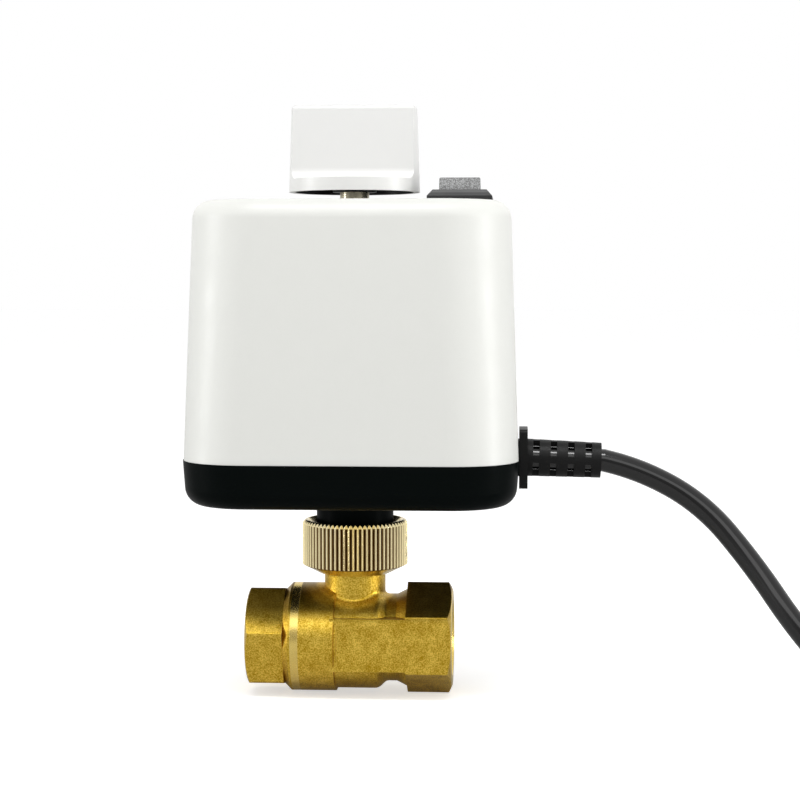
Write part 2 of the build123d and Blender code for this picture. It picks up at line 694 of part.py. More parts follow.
# Base: a tray with the collar that enters the nut
with BuildPart() as base:
    with BuildSketch(stem_plane(BASE_BOTTOM_Z)):
        housing_outline(BASE_INSET + BASE_DRAFT)
    with BuildSketch(stem_plane(SEAM_Z)):
        housing_outline(BASE_INSET)
    loft(ruled=True)
    fillet(base.faces().sort_by(Axis.Z)[0].edges(), BASE_EDGE_R)
    with BuildSketch(stem_plane(BASE_FLOOR_Z)):
        housing_outline(BASE_WALL)
    extrude(amount=SEAM_Z - BASE_FLOOR_Z, mode=Mode.SUBTRACT)
    # Groove for the gasket in the middle of the rim
    with BuildSketch(stem_plane(SEAM_Z - GASKET_H)):
        housing_outline((BASE_WALL - GASKET_W) / 2)
        housing_outline((BASE_WALL + GASKET_W) / 2, mode=Mode.SUBTRACT)
    extrude(amount=GASKET_H, mode=Mode.SUBTRACT)
    # Bosses for the cover screws and for the gearbox
    with BuildSketch(stem_plane(BASE_FLOOR_Z)):
        with Locations(*CORNER_SPOTS):
            Circle(BOSS_D / 2)
    extrude(amount=SEAM_Z - BASE_FLOOR_Z)
    with BuildSketch(stem_plane(BASE_FLOOR_Z)):
        with Locations(*PILLAR_SPOTS):
            Circle(PILLAR_D / 2)
    extrude(amount=LOWER_PLATE_Z - BASE_FLOOR_Z)
    with BuildSketch(stem_plane(BONNET_TOP_Z)):
        Circle(COLLAR_D / 2)
    extrude(amount=BASE_FLOOR_Z - BONNET_TOP_Z)
    with BuildSketch(stem_plane(BONNET_TOP_Z)):
        Circle(COUPLING_D / 2 + RUN_GAP)
    extrude(amount=SEAM_Z - BONNET_TOP_Z, mode=Mode.SUBTRACT)
    with Locations((STEM_X, 0, SNAP_Z)):
        Torus(NUT_UPPER_R, SNAP_WIRE_D / 2 + RUN_GAP, mode=Mode.SUBTRACT)
    with BuildSketch(stem_plane(BASE_BOTTOM_Z)):
        with Locations(*CORNER_SPOTS):
            Circle(SCREW_HEAD_D / 2 + FREE_GAP)
    extrude(amount=SCREW_HEAD_H, mode=Mode.SUBTRACT)
    with BuildSketch(stem_plane(BASE_BOTTOM_Z)):
        with Locations(*CORNER_SPOTS):
            Circle(SCREW_HOLE_D / 2)
    extrude(amount=SEAM_Z - BASE_BOTTOM_Z, mode=Mode.SUBTRACT)
    with BuildSketch(stem_plane(BASE_FLOOR_Z + PILLAR_D / 2)):
        with Locations(*PILLAR_SPOTS):
            Circle(SCREW_HOLE_D / 2)
    extrude(amount=LOWER_PLATE_Z - BASE_FLOOR_Z, mode=Mode.SUBTRACT)
    with BuildSketch(across_flow(NOTCH_X)):
        gland_neck(SEAT_GAP)
    extrude(amount=NOTCH_L, mode=Mode.SUBTRACT)
base.part.label = "base"

# Gasket in the rim's groove, open where the gland stands
with BuildPart() as gasket:
    with BuildSketch(stem_plane(SEAM_Z - GASKET_H)):
        housing_outline((BASE_WALL - GASKET_W) / 2 + SEAT_GAP)
        housing_outline((BASE_WALL + GASKET_W) / 2 - SEAT_GAP, mode=Mode.SUBTRACT)
    extrude(amount=GASKET_H)
    with BuildSketch(across_flow(NOTCH_X)):
        gland_neck(SEAT_GAP)
    extrude(amount=NOTCH_L, mode=Mode.SUBTRACT)
gasket.part.label = "gasket"

# Cover: a drafted shell with rounded edges and a pillar in each corner for the screws
SCREW_TOP_Z = BASE_BOTTOM_Z + SCREW_HEAD_H + SCREW_LENGTH
with BuildPart() as cover:
    with BuildSketch(stem_plane(SEAM_Z)):
        housing_outline(0)
    with BuildSketch(stem_plane(COVER_TOP_Z)):
        cover_outline(0)
    loft(ruled=True)
    fillet(cover.faces().sort_by(Axis.Z)[-1].edges(), COVER_EDGE_R)
    with BuildSketch(stem_plane(SEAM_Z)):
        housing_outline(COVER_WALL)
    with BuildSketch(stem_plane(COVER_TOP_Z - COVER_WALL)):
        cover_outline(COVER_WALL)
    loft(ruled=True, mode=Mode.SUBTRACT)
    with BuildSketch(stem_plane(SEAM_Z)):
        with Locations(*CORNER_SPOTS):
            Circle(BOSS_D / 2)
    extrude(amount=COVER_TOP_Z - COVER_WALL - SEAM_Z)
    with BuildSketch(stem_plane(SEAM_Z)):
        with Locations(*CORNER_SPOTS):
            Circle(SCREW_HOLE_D / 2)
    extrude(amount=SCREW_TOP_Z - SEAM_Z + SCREW_D, mode=Mode.SUBTRACT)
    with BuildSketch(stem_plane(COVER_TOP_Z - COVER_WALL)):
        Circle(SHAFT_TOP_D / 2 + FREE_GAP)
        with Locations((ROCKER_X, 0)):
            Rectangle(ROCKER_BOX_L + 2 * SEAT_GAP, ROCKER_BOX_W + 2 * SEAT_GAP)
    extrude(amount=COVER_WALL, mode=Mode.SUBTRACT)
    with BuildSketch(across_flow(NOTCH_X)):
        gland_neck(SEAT_GAP)
    extrude(amount=NOTCH_L, mode=Mode.SUBTRACT)
cover.part.label = "cover"

# Four cover screws, put in from under the base
with BuildPart() as cover_screws:
    with BuildSketch(stem_plane(BASE_BOTTOM_Z + SCREW_SINK)):
        with Locations(*CORNER_SPOTS):
            Circle(SCREW_HEAD_D / 2)
    extrude(amount=SCREW_HEAD_H - SCREW_SINK)
    with BuildSketch(stem_plane(BASE_BOTTOM_Z + SCREW_HEAD_H)):
        with Locations(*CORNER_SPOTS):
            Circle(SCREW_D / 2)
    extrude(amount=SCREW_LENGTH)
cover_screws.part.label = "cover_screws"


# Gearbox plates on pillars
def plate_outline():
    """Plate cut away round the cover's corner pillars."""
    with Locations(((PLATE_RIGHT - PLATE_LEFT) / 2, 0)):
        Rectangle(PLATE_LEFT + PLATE_RIGHT, 2 * PLATE_HALF_W)
    with Locations(*CORNER_SPOTS):
        Circle(BOSS_D / 2 + FREE_GAP, mode=Mode.SUBTRACT)
    with Locations(*PILLAR_SPOTS):
        Circle(SCREW_HOLE_D / 2, mode=Mode.SUBTRACT)
    Circle(BUSH_D / 2 + SEAT_GAP, mode=Mode.SUBTRACT)
    with Locations((IDLER_X, IDLER_Y)):
        Circle(AXLE_D / 2 + SEAT_GAP, mode=Mode.SUBTRACT)


with BuildPart() as lower_plate:
    with BuildSketch(stem_plane(LOWER_PLATE_Z)):
        plate_outline()
    extrude(amount=PLATE_T)
lower_plate.part.label = "lower_plate"

MOTOR_SCREW_SPOTS = [
    (MOTOR_X, MOTOR_Y - MOTOR_SCREW_SPREAD),
    (MOTOR_X, MOTOR_Y + MOTOR_SCREW_SPREAD),
]
SWITCH_HOLE_X = SWITCH_FACE_X + SWITCH_HOLE_INSET
POST_SPOTS = [
    (SWITCH_HOLE_X, -SWITCH_HOLE_PITCH / 2),
    (SWITCH_HOLE_X, SWITCH_HOLE_PITCH / 2),
]
with BuildPart() as upper_plate:
    with BuildSketch(stem_plane(UPPER_PLATE_Z)):
        plate_outline()
        with Locations((MOTOR_X, MOTOR_Y)):
            Circle(MOTOR_NOSE_D / 2 + SEAT_GAP, mode=Mode.SUBTRACT)
        with Locations(*MOTOR_SCREW_SPOTS):
            Circle(MOTOR_SCREW_D / 2 + SEAT_GAP, mode=Mode.SUBTRACT)
        with Locations(*POST_SPOTS):
            Circle(SWITCH_POST_D / 2 + SEAT_GAP, mode=Mode.SUBTRACT)
    extrude(amount=PLATE_T)
upper_plate.part.label = "upper_plate"

with BuildPart() as pillars:
    with BuildSketch(stem_plane(LOWER_PLATE_Z + PLATE_T)):
        with Locations(*PILLAR_SPOTS):
            Circle(PILLAR_D / 2)
            Circle(SCREW_HOLE_D / 2, mode=Mode.SUBTRACT)
    extrude(amount=UPPER_PLATE_Z - LOWER_PLATE_Z - PLATE_T)
pillars.part.label = "pillars"

with BuildPart() as plate_screws:
    with BuildSketch(stem_plane(MOTOR_Z)):
        with Locations(*PILLAR_SPOTS):
            Circle(SCREW_HEAD_D / 2)
    extrude(amount=SCREW_HEAD_H)
    with BuildSketch(stem_plane(BASE_FLOOR_Z + PILLAR_D)):
        with Locations(*PILLAR_SPOTS):
            Circle(SCREW_D / 2)
    extrude(amount=MOTOR_Z - BASE_FLOOR_Z - PILLAR_D)
plate_screws.part.label = "plate_screws"


def bush(label, plate_z):
    """Flanged bush that stands in a plate, its flange on top."""
    with BuildPart() as piece:
        with BuildSketch(stem_plane(plate_z)):
            Circle(BUSH_D / 2)
        extrude(amount=PLATE_T)
        with BuildSketch(stem_plane(plate_z + PLATE_T)):
            Circle(BUSH_FLANGE_D / 2)
        extrude(amount=BUSH_FLANGE_T)
        with BuildSketch(stem_plane(plate_z)):
            Circle(SHAFT_D / 2 + RUN_GAP)
        extrude(amount=PLATE_T + BUSH_FLANGE_T, mode=Mode.SUBTRACT)
    piece.part.label = label
    return piece


lower_bush = bush("lower_bush", LOWER_PLATE_Z)
upper_bush = bush("upper_bush", UPPER_PLATE_Z)

# Drive shaft: socket for the stem, journal in the collar, stepped up to the knob
with BuildPart() as drive_shaft:
    with BuildSketch(SIDE_VIEW):
        with BuildLine():
            Polyline(
                (0, COUPLING_BOTTOM_Z),
                (COUPLING_D / 2, COUPLING_BOTTOM_Z),
                (COUPLING_D / 2, COUPLING_TOP_Z),
                (SHAFT_D / 2, COUPLING_TOP_Z),
                (SHAFT_D / 2, SHAFT_STEP_Z),
                (SHAFT_TOP_D / 2, SHAFT_STEP_Z),
                (SHAFT_TOP_D / 2, SHAFT_TOP_Z),
                (0, SHAFT_TOP_Z),
                close=True,
            )
        make_face()
    revolve(axis=STEM_AXIS)
    with BuildSketch(stem_plane(COUPLING_BOTTOM_Z)):
        Rectangle(STEM_SQUARE + 2 * RUN_GAP, STEM_SQUARE + 2 * RUN_GAP)
    extrude(amount=SOCKET_TOP_Z - COUPLING_BOTTOM_Z, mode=Mode.SUBTRACT)
    # Flat for the knob and a hole for its screw
    with BuildSketch(stem_plane(SHAFT_TOP_Z - SHAFT_FLAT_LENGTH)):
        with Locations((0, SHAFT_TOP_D - SHAFT_FLAT)):
            Rectangle(2 * SHAFT_TOP_D, SHAFT_TOP_D)
    extrude(amount=SHAFT_FLAT_LENGTH, mode=Mode.SUBTRACT)
    with BuildSketch(stem_plane(SHAFT_TOP_Z - SHAFT_FLAT_LENGTH)):
        Circle(SCREW_D / 2 + SEAT_GAP)
    extrude(amount=SHAFT_FLAT_LENGTH, mode=Mode.SUBTRACT)
drive_shaft.part.label = "drive_shaft"

GEAR_FOOT_Z = LOWER_PLATE_Z + PLATE_T + BUSH_FLANGE_T + FREE_GAP
with BuildPart() as drive_gear:
    with BuildSketch(stem_plane(GEAR_Z)):
        with BuildLine():
            Polyline(*gear_outline(DRIVE_TEETH, IDLER_ANGLE), close=True)
        make_face()
        with PolarLocations(GEAR_HOLE_R, GEAR_HOLES):
            Circle(GEAR_HOLE_D / 2, mode=Mode.SUBTRACT)
    extrude(amount=DRIVE_GEAR_W)
    with BuildSketch(stem_plane(GEAR_FOOT_Z)):
        Circle(BUSH_FLANGE_D / 2)
    extrude(amount=GEAR_Z - GEAR_FOOT_Z)
    with BuildSketch(stem_plane(GEAR_FOOT_Z)):
        Circle(SHAFT_D / 2)
    extrude(amount=GEAR_Z + DRIVE_GEAR_W - GEAR_FOOT_Z, mode=Mode.SUBTRACT)
drive_gear.part.label = "drive_gear"

# Compound idler: a pinion on the drive gear and a wheel on the motor's pinion
HALF_PINION_STEP = 180 / PINION_TEETH
AXLE_BORE_R = AXLE_D / 2 + RUN_GAP
IDLER_BOTTOM_Z = LOWER_PLATE_Z + PLATE_T + FREE_GAP
with BuildPart() as idler_gear:
    with BuildSketch(off_stem(IDLER_X, IDLER_Y, GEAR_Z)):
        with BuildLine():
            Polyline(
                *gear_outline(PINION_TEETH, IDLER_ANGLE + 180 + HALF_PINION_STEP), close=True
            )
        make_face()
    extrude(amount=WHEEL_Z - GEAR_Z)
    with BuildSketch(off_stem(IDLER_X, IDLER_Y, WHEEL_Z)):
        with BuildLine():
            Polyline(*gear_outline(WHEEL_TEETH, MOTOR_ANGLE), close=True)
        make_face()
    extrude(amount=WHEEL_W)
    with BuildSketch(off_stem(IDLER_X, IDLER_Y, IDLER_BOTTOM_Z)):
        Circle(AXLE_HUB_D / 2)
    extrude(amount=UPPER_PLATE_Z - FREE_GAP - IDLER_BOTTOM_Z)
    with BuildSketch(off_stem(IDLER_X, IDLER_Y, IDLER_BOTTOM_Z)):
        Circle(AXLE_BORE_R)
    extrude(amount=UPPER_PLATE_Z - FREE_GAP - IDLER_BOTTOM_Z, mode=Mode.SUBTRACT)
idler_gear.part.label = "idler_gear"

with BuildPart() as idler_axle:
    with BuildSketch(off_stem(IDLER_X, IDLER_Y, LOWER_PLATE_Z)):
        Circle(AXLE_D / 2)
    extrude(amount=MOTOR_Z - LOWER_PLATE_Z)
idler_axle.part.label = "idler_axle"

# Motor with its pinion
with BuildPart() as motor:
    with BuildSketch(off_stem(MOTOR_X, MOTOR_Y, MOTOR_Z)):
        Circle(MOTOR_D / 2)
    extrude(amount=MOTOR_H)
    fillet(motor.faces().sort_by(Axis.Z)[-1].edges(), BUSH_FLANGE_T)
    with BuildSketch(off_stem(MOTOR_X, MOTOR_Y, UPPER_PLATE_Z)):
        Circle(MOTOR_NOSE_D / 2)
    extrude(amount=PLATE_T)
    with BuildSketch(off_stem(MOTOR_X, MOTOR_Y, UPPER_PLATE_Z)):
        Circle(MOTOR_SHAFT_D / 2 + RUN_GAP)
    extrude(amount=MOTOR_BORE_DEPTH, mode=Mode.SUBTRACT)
    with BuildSketch(stem_plane(MOTOR_Z)):
        with Locations(*MOTOR_SCREW_SPOTS):
            Circle(MOTOR_SCREW_D / 2 + SEAT_GAP)
    extrude(amount=MOTOR_BORE_DEPTH, mode=Mode.SUBTRACT)
motor.part.label = "motor"

with BuildPart() as motor_pinion:
    with BuildSketch(off_stem(MOTOR_X, MOTOR_Y, WHEEL_Z - FREE_GAP)):
        with BuildLine():
            Polyline(
                *gear_outline(PINION_TEETH, MOTOR_ANGLE + 180 + HALF_PINION_STEP), close=True
            )
        make_face()
    extrude(amount=WHEEL_W + 2 * FREE_GAP)
    with BuildSketch(off_stem(MOTOR_X, MOTOR_Y, WHEEL_Z + WHEEL_W)):
        Circle(MOTOR_SHAFT_D / 2)
    extrude(amount=UPPER_PLATE_Z + MOTOR_BORE_DEPTH - FREE_GAP - WHEEL_Z - WHEEL_W)
motor_pinion.part.label = "motor_pinion"

with BuildPart() as motor_screws:
    with BuildSketch(stem_plane(UPPER_PLATE_Z - MOTOR_SCREW_HEAD_H)):
        with Locations(*MOTOR_SCREW_SPOTS):
            Circle(MOTOR_SCREW_HEAD_D / 2)
    extrude(amount=MOTOR_SCREW_HEAD_H)
    with BuildSketch(stem_plane(UPPER_PLATE_Z)):
        with Locations(*MOTOR_SCREW_SPOTS):
            Circle(MOTOR_SCREW_D / 2)
    extrude(amount=MOTOR_BORE_DEPTH)
motor_screws.part.label = "motor_screws"


def cam(label, bottom_z, middle):
    """Cam on the shaft, its lobe centred at an angle."""
    with BuildPart() as piece:
        with BuildSketch(stem_plane(bottom_z)):
            Circle(CAM_ROOT_D / 2)
            start = middle - CAM_LIFT_ARC / 2
            lobe_start = polar(CAM_LOBE_D / 2, start)
            with BuildLine():
                CenterArc((0, 0), CAM_LOBE_D / 2, start, CAM_LIFT_ARC)
                Line(polar(CAM_LOBE_D / 2, start + CAM_LIFT_ARC), (0, 0))
                Line((0, 0), lobe_start)
            make_face()
            Circle(SHAFT_TOP_D / 2, mode=Mode.SUBTRACT)
        extrude(amount=CAM_H)
    piece.part.label = label
    return piece


CAM_Z = SWITCH_Z + (SWITCH_H - CAM_H) / 2
open_cam = cam("open_cam", CAM_Z, 0)
shut_cam = cam("shut_cam", CAM_Z + SWITCH_STEP, -90)


def limit_switch(label, bottom_z):
    """Limit switch on its posts, its button towards the cam."""
    with BuildPart() as piece:
        with BuildSketch(stem_plane(bottom_z)):
            with Locations((SWITCH_FACE_X + SWITCH_DEPTH / 2, 0)):
                Rectangle(SWITCH_DEPTH, SWITCH_L)
            with Locations(*POST_SPOTS):
                Circle(SWITCH_POST_D / 2 + SEAT_GAP, mode=Mode.SUBTRACT)
        extrude(amount=SWITCH_H)
        with BuildSketch(stem_plane(bottom_z + SWITCH_H / 3)):
            with Locations((SWITCH_FACE_X - SWITCH_BUTTON / 2, 0)):
                Rectangle(SWITCH_BUTTON, SWITCH_H / 2)
        extrude(amount=SWITCH_H / 3)
    piece.part.label = label
    return piece


open_limit_switch = limit_switch("open_limit_switch", SWITCH_Z)
shut_limit_switch = limit_switch("shut_limit_switch", SWITCH_Z + SWITCH_STEP)

with BuildPart() as switch_spacer:
    with BuildSketch(stem_plane(SWITCH_Z + SWITCH_H)):
        with Locations((SWITCH_FACE_X + SWITCH_DEPTH / 2, 0)):
            Rectangle(SWITCH_DEPTH, SWITCH_L)
        with Locations(*POST_SPOTS):
            Circle(SWITCH_POST_D / 2 + SEAT_GAP, mode=Mode.SUBTRACT)
    extrude(amount=SWITCH_SPACER_T)
switch_spacer.part.label = "switch_spacer"

with BuildPart() as switch_posts:
    with BuildSketch(stem_plane(UPPER_PLATE_Z)):
        with Locations(*POST_SPOTS):
            Circle(SWITCH_POST_D / 2)
    extrude(amount=SWITCH_TOP_Z + SWITCH_NUT_H - UPPER_PLATE_Z)
    with BuildSketch(stem_plane(MOTOR_Z)):
        with Locations(*POST_SPOTS):
            Circle(SWITCH_POST_FOOT_D / 2)
    extrude(amount=SWITCH_RISE)
switch_posts.part.label = "switch_posts"

with BuildPart() as switch_nuts:
    with BuildSketch(stem_plane(SWITCH_TOP_Z)):
        with Locations(*POST_SPOTS):
            RegularPolygon(SWITCH_POST_D, 6)
            Circle(SWITCH_POST_D / 2 + SEAT_GAP, mode=Mode.SUBTRACT)
    extrude(amount=SWITCH_NUT_H)
switch_nuts.part.label = "switch_nuts"

# Knob: a round skirt with a grip bar across it, moulded hollow
SKIRT_TOP_Z = KNOB_BOTTOM_Z + KNOB_SKIRT_H
GRIP_SLOT_W = KNOB_GRIP_TOP_W - 2 * KNOB_WALL
HEAD_SEAT_Z = KNOB_TOP_Z - KNOB_SCREW_SINK
SHAFT_FLAT_Y = SHAFT_TOP_D / 2 - SHAFT_FLAT
with BuildPart() as knob:
    with BuildSketch(stem_plane(KNOB_BOTTOM_Z)):
        Circle(KNOB_D / 2)
    with BuildSketch(stem_plane(KNOB_TOP_Z)):
        Circle(KNOB_TOP_D / 2)
    loft(ruled=True)
    for side in (-1, 1):
        with BuildSketch(across_flow(-KNOB_D)):
            with BuildLine():
                Polyline(
                    (side * KNOB_GRIP_W / 2, SKIRT_TOP_Z),
                    (side * KNOB_D, SKIRT_TOP_Z),
                    (side * KNOB_D, KNOB_TOP_Z),
                    (side * KNOB_GRIP_TOP_W / 2, KNOB_TOP_Z),
                    close=True,
                )
            make_face()
            fillet(vertices().sort_by(lambda corner: abs(corner.X) + corner.Y)[0], KNOB_SCOOP_R)
        extrude(amount=2 * KNOB_D, mode=Mode.SUBTRACT)
    fillet(knob.faces().sort_by(Axis.Z)[-1].edges(), KNOB_EDGE_R)
    # Hollow skirt, and a slot up into the grip on each side of the boss
    with BuildSketch(stem_plane(KNOB_BOTTOM_Z)):
        Circle(KNOB_D / 2 - KNOB_WALL)
        Circle(KNOB_BOSS_D / 2, mode=Mode.SUBTRACT)
    extrude(amount=KNOB_SKIRT_H - KNOB_WALL, mode=Mode.SUBTRACT)
    with BuildSketch(stem_plane(KNOB_BOTTOM_Z)):
        Circle(KNOB_TOP_D / 2 - KNOB_WALL)
        Rectangle(KNOB_D, GRIP_SLOT_W, mode=Mode.INTERSECT)
        Circle(KNOB_BOSS_D / 2, mode=Mode.SUBTRACT)
    extrude(amount=KNOB_TOP_Z - KNOB_WALL - KNOB_BOTTOM_Z, mode=Mode.SUBTRACT)
    # Round bore below the shaft's flat, and one with the flat above it
    with BuildSketch(stem_plane(KNOB_BOTTOM_Z)):
        Circle(SHAFT_TOP_D / 2 + SEAT_GAP)
    extrude(amount=SHAFT_TOP_Z - SHAFT_FLAT_LENGTH - KNOB_BOTTOM_Z, mode=Mode.SUBTRACT)
    with BuildSketch(stem_plane(SHAFT_TOP_Z - SHAFT_FLAT_LENGTH)):
        Circle(SHAFT_TOP_D / 2 + SEAT_GAP)
        with Locations((0, SHAFT_TOP_D + SHAFT_FLAT_Y + SEAT_GAP)):
            Rectangle(2 * SHAFT_TOP_D, 2 * SHAFT_TOP_D, mode=Mode.SUBTRACT)
    extrude(amount=SHAFT_FLAT_LENGTH, mode=Mode.SUBTRACT)
    with BuildSketch(stem_plane(SHAFT_TOP_Z)):
        Circle(SCREW_D / 2 + SEAT_GAP)
    extrude(amount=KNOB_TOP_Z - SHAFT_TOP_Z, mode=Mode.SUBTRACT)
    with BuildSketch(stem_plane(HEAD_SEAT_Z)):
        Circle(KNOB_SCREW_HEAD_D / 2 + SEAT_GAP)
    extrude(amount=KNOB_SCREW_SINK, mode=Mode.SUBTRACT)
knob.part.label = "knob"

with BuildPart() as knob_screw:
    with BuildSketch(stem_plane(HEAD_SEAT_Z)):
        Circle(KNOB_SCREW_HEAD_D / 2)
    extrude(amount=KNOB_SCREW_HEAD_H)
    with BuildSketch(stem_plane(SHAFT_TOP_Z - SHAFT_FLAT_LENGTH)):
        Circle(SCREW_D / 2)
    extrude(amount=HEAD_SEAT_Z - SHAFT_TOP_Z + SHAFT_FLAT_LENGTH)
knob_screw.part.label = "knob_screw"

# Rocker switch: bezel and box in one piece
BEZEL_TOP_W = BEZEL_W - BEZEL_L + BEZEL_TOP_L
CAVITY_L = ROCKER_L + 2 * FREE_GAP
CAVITY_W = 2 * (ROCKER_R + FREE_GAP)
CAVITY_Z = ROCKER_BOX_Z + ROCKER_BOX_WALL
BLADE_SPOTS = [(ROCKER_X, y) for y in (-BLADE_PITCH, 0, BLADE_PITCH)]
with BuildPart() as rocker_box:
    with BuildSketch(off_stem(ROCKER_X, 0, COVER_TOP_Z)):
        Rectangle(BEZEL_L, BEZEL_W)
    extrude(amount=BEZEL_EDGE_H)
    with BuildSketch(off_stem(ROCKER_X, 0, COVER_TOP_Z + BEZEL_EDGE_H)):
        Rectangle(BEZEL_L, BEZEL_W)
    with BuildSketch(off_stem(ROCKER_X, 0, COVER_TOP_Z + BEZEL_H)):
        Rectangle(BEZEL_TOP_L, BEZEL_TOP_W)
    loft(ruled=True)
    with BuildSketch(off_stem(ROCKER_X, 0, ROCKER_BOX_Z)):
        Rectangle(ROCKER_BOX_L, ROCKER_BOX_W)
    extrude(amount=ROCKER_BOX_DEPTH)
    with BuildSketch(off_stem(ROCKER_X, 0, CAVITY_Z)):
        Rectangle(CAVITY_L, CAVITY_W)
    extrude(amount=COVER_TOP_Z + BEZEL_H - CAVITY_Z, mode=Mode.SUBTRACT)
    with BuildSketch(stem_plane(ROCKER_BOX_Z)):
        with Locations(*BLADE_SPOTS):
            Rectangle(BLADE_W + 2 * SEAT_GAP, BLADE_T + 2 * SEAT_GAP)
    extrude(amount=ROCKER_BOX_WALL, mode=Mode.SUBTRACT)
    with BuildSketch(across_flow(ROCKER_X - ROCKER_BOX_L / 2)):
        with Locations((0, PIVOT_Z)):
            Circle(ROCKER_PIN_D / 2 + RUN_GAP)
    extrude(amount=ROCKER_BOX_L, mode=Mode.SUBTRACT)
rocker_box.part.label = "rocker_box"

with BuildPart() as rocker_blades:
    with BuildSketch(stem_plane(ROCKER_BOX_Z - BLADE_L)):
        with Locations(*BLADE_SPOTS):
            Rectangle(BLADE_W, BLADE_T)
    extrude(amount=BLADE_L + ROCKER_BOX_WALL)
    with BuildSketch(stem_plane(CAVITY_Z)):
        with Locations(*BLADE_SPOTS):
            Rectangle(BLADE_W, BLADE_HEAD_W)
    extrude(amount=BLADE_T)
rocker_blades.part.label = "rocker_blades"

# Rocker: a round-ended block with a hollow in its top, tilted to one side at rest
ROCKER_END_Y = math.sqrt(ROCKER_R**2 - ROCKER_END_RISE**2)
ROCKER_FOOT_Y = math.sqrt(ROCKER_R**2 - ROCKER_SKIRT**2)
TILT = math.radians(ROCKER_TILT)
with BuildPart() as rocker:
    with BuildSketch(
        Plane(
            (STEM_X + ROCKER_X - ROCKER_L / 2, 0, PIVOT_Z),
            x_dir=(0, math.cos(TILT), -math.sin(TILT)),
            z_dir=(1, 0, 0),
        )
    ):
        with BuildLine():
            Polyline(
                (-ROCKER_END_Y, ROCKER_END_RISE),
                (0, ROCKER_MID_RISE),
                (ROCKER_END_Y, ROCKER_END_RISE),
            )
            ThreePointArc(
                (ROCKER_END_Y, ROCKER_END_RISE), (ROCKER_R, 0), (ROCKER_FOOT_Y, -ROCKER_SKIRT)
            )
            Line((ROCKER_FOOT_Y, -ROCKER_SKIRT), (-ROCKER_FOOT_Y, -ROCKER_SKIRT))
            ThreePointArc(
                (-ROCKER_FOOT_Y, -ROCKER_SKIRT), (-ROCKER_R, 0), (-ROCKER_END_Y, ROCKER_END_RISE)
            )
        make_face()
        fillet(vertices().sort_by(Axis.Y)[-2:], ROCKER_EDGE_R)
    extrude(amount=ROCKER_L)
    for end in (0, -1):
        fillet(rocker.faces().sort_by(Axis.X)[end].edges(), ROCKER_SIDE_R)
    with BuildSketch(across_flow(ROCKER_X - ROCKER_L / 2 - ROCKER_PIN_L)):
        with Locations((0, PIVOT_Z)):
            Circle(ROCKER_PIN_D / 2)
    extrude(amount=ROCKER_L + 2 * ROCKER_PIN_L)
rocker.part.label = "rocker"

# Gland: flange, neck and back flange square to the wall, strain relief drooping from them
FLANGE_X = HOUSING_L / 2 + BASE_LIP
FLANGE_FACE_X = FLANGE_X + FLANGE_T
DROOP = math.radians(GLAND_DROOP)
BACK_FLANGE_X = HOUSING_L / 2 - BASE_WALL - BASE_LIP - BASE_DRAFT - GLAND_BACK_T


def along_relief(distance):
    """Plane square to the strain relief, at a distance from the flange's face."""
    return Plane(
        (
            STEM_X + FLANGE_FACE_X + distance * math.cos(DROOP),
            0,
            GLAND_Z - distance * math.sin(DROOP),
        ),
        x_dir=(0, 1, 0),
        z_dir=(math.cos(DROOP), 0, -math.sin(DROOP)),
    )


BORE_BACK = FLANGE_FACE_X - JACKET_END_X
with BuildPart() as gland:
    with BuildSketch(across_flow(FLANGE_X)):
        with Locations((0, GLAND_Z)):
            RectangleRounded(FLANGE_W, FLANGE_H, FLANGE_T / 2)
    extrude(amount=FLANGE_T)
    with BuildSketch(across_flow(BACK_FLANGE_X)):
        gland_neck()
    extrude(amount=FLANGE_X - BACK_FLANGE_X)
    with BuildSketch(across_flow(BACK_FLANGE_X)):
        with Locations((0, GLAND_Z)):
            Rectangle(FLANGE_W, FLANGE_H - 2 * GLAND_BACK_T)
    extrude(amount=GLAND_BACK_T)
    with BuildSketch(along_relief(-FLANGE_T / 2)):
        Circle(RELIEF_D / 2)
    with BuildSketch(along_relief(RELIEF_L)):
        Circle(RELIEF_END_D / 2)
    loft(ruled=True)
    # Slots in pairs, above and below, that leave a web on each side
    for slot in range(RELIEF_SLOTS):
        slot_start = RELIEF_SLOT_START + slot * RELIEF_SLOT_PITCH - RELIEF_SLOT_W / 2
        with BuildSketch(along_relief(slot_start)):
            Rectangle(2 * RELIEF_D, 2 * RELIEF_D)
            Rectangle(2 * RELIEF_D, RELIEF_WEB, mode=Mode.SUBTRACT)
        extrude(amount=RELIEF_SLOT_W, mode=Mode.SUBTRACT)
    with BuildSketch(along_relief(-BORE_BACK)):
        Circle(CABLE_D / 2 + SEAT_GAP)
    extrude(amount=BORE_BACK + RELIEF_L, mode=Mode.SUBTRACT)
gland.part.label = "gland"

# Free stretch of the cable, which swings clear of the pipe that goes into the outlet.
# Each corner's arc is as large as its two runs allow.
ROUTE = [
    (78.0, 0.0, 47.31),
    (95.4, -1.5, 37.7),
    (108.5, -7.0, 22.0),
    (118.5, -14.5, 7.0),
    (129.0, -18.0, -5.0),
    (COIL_X - COIL_LEAD, COIL_Y + COIL_R, CABLE_REST_Z),
    (COIL_X, COIL_Y + COIL_R, COIL_Z),
]
EXIT = along_relief(RELIEF_L + CABLE_EXIT_GAP).origin
POINTS = [EXIT] + [Vector(STEM_X + x, y, z) for x, y, z in ROUTE]
RUNS = [end - start for start, end in zip(POINTS, POINTS[1:])]
RADII = []
for run, following in zip(RUNS, RUNS[1:]):
    half_turn = math.radians(run.get_angle(following)) / 2
    RADII.append(ARC_SHARE * min(run.length, following.length) / math.tan(half_turn))

with BuildPart() as cable:
    with BuildLine():
        FilletPolyline(*POINTS, radius=RADII)
    with BuildSketch(Plane(POINTS[0], z_dir=RUNS[0])):
        Circle(CABLE_D / 2)
    sweep()
cable.part.label = "cable"

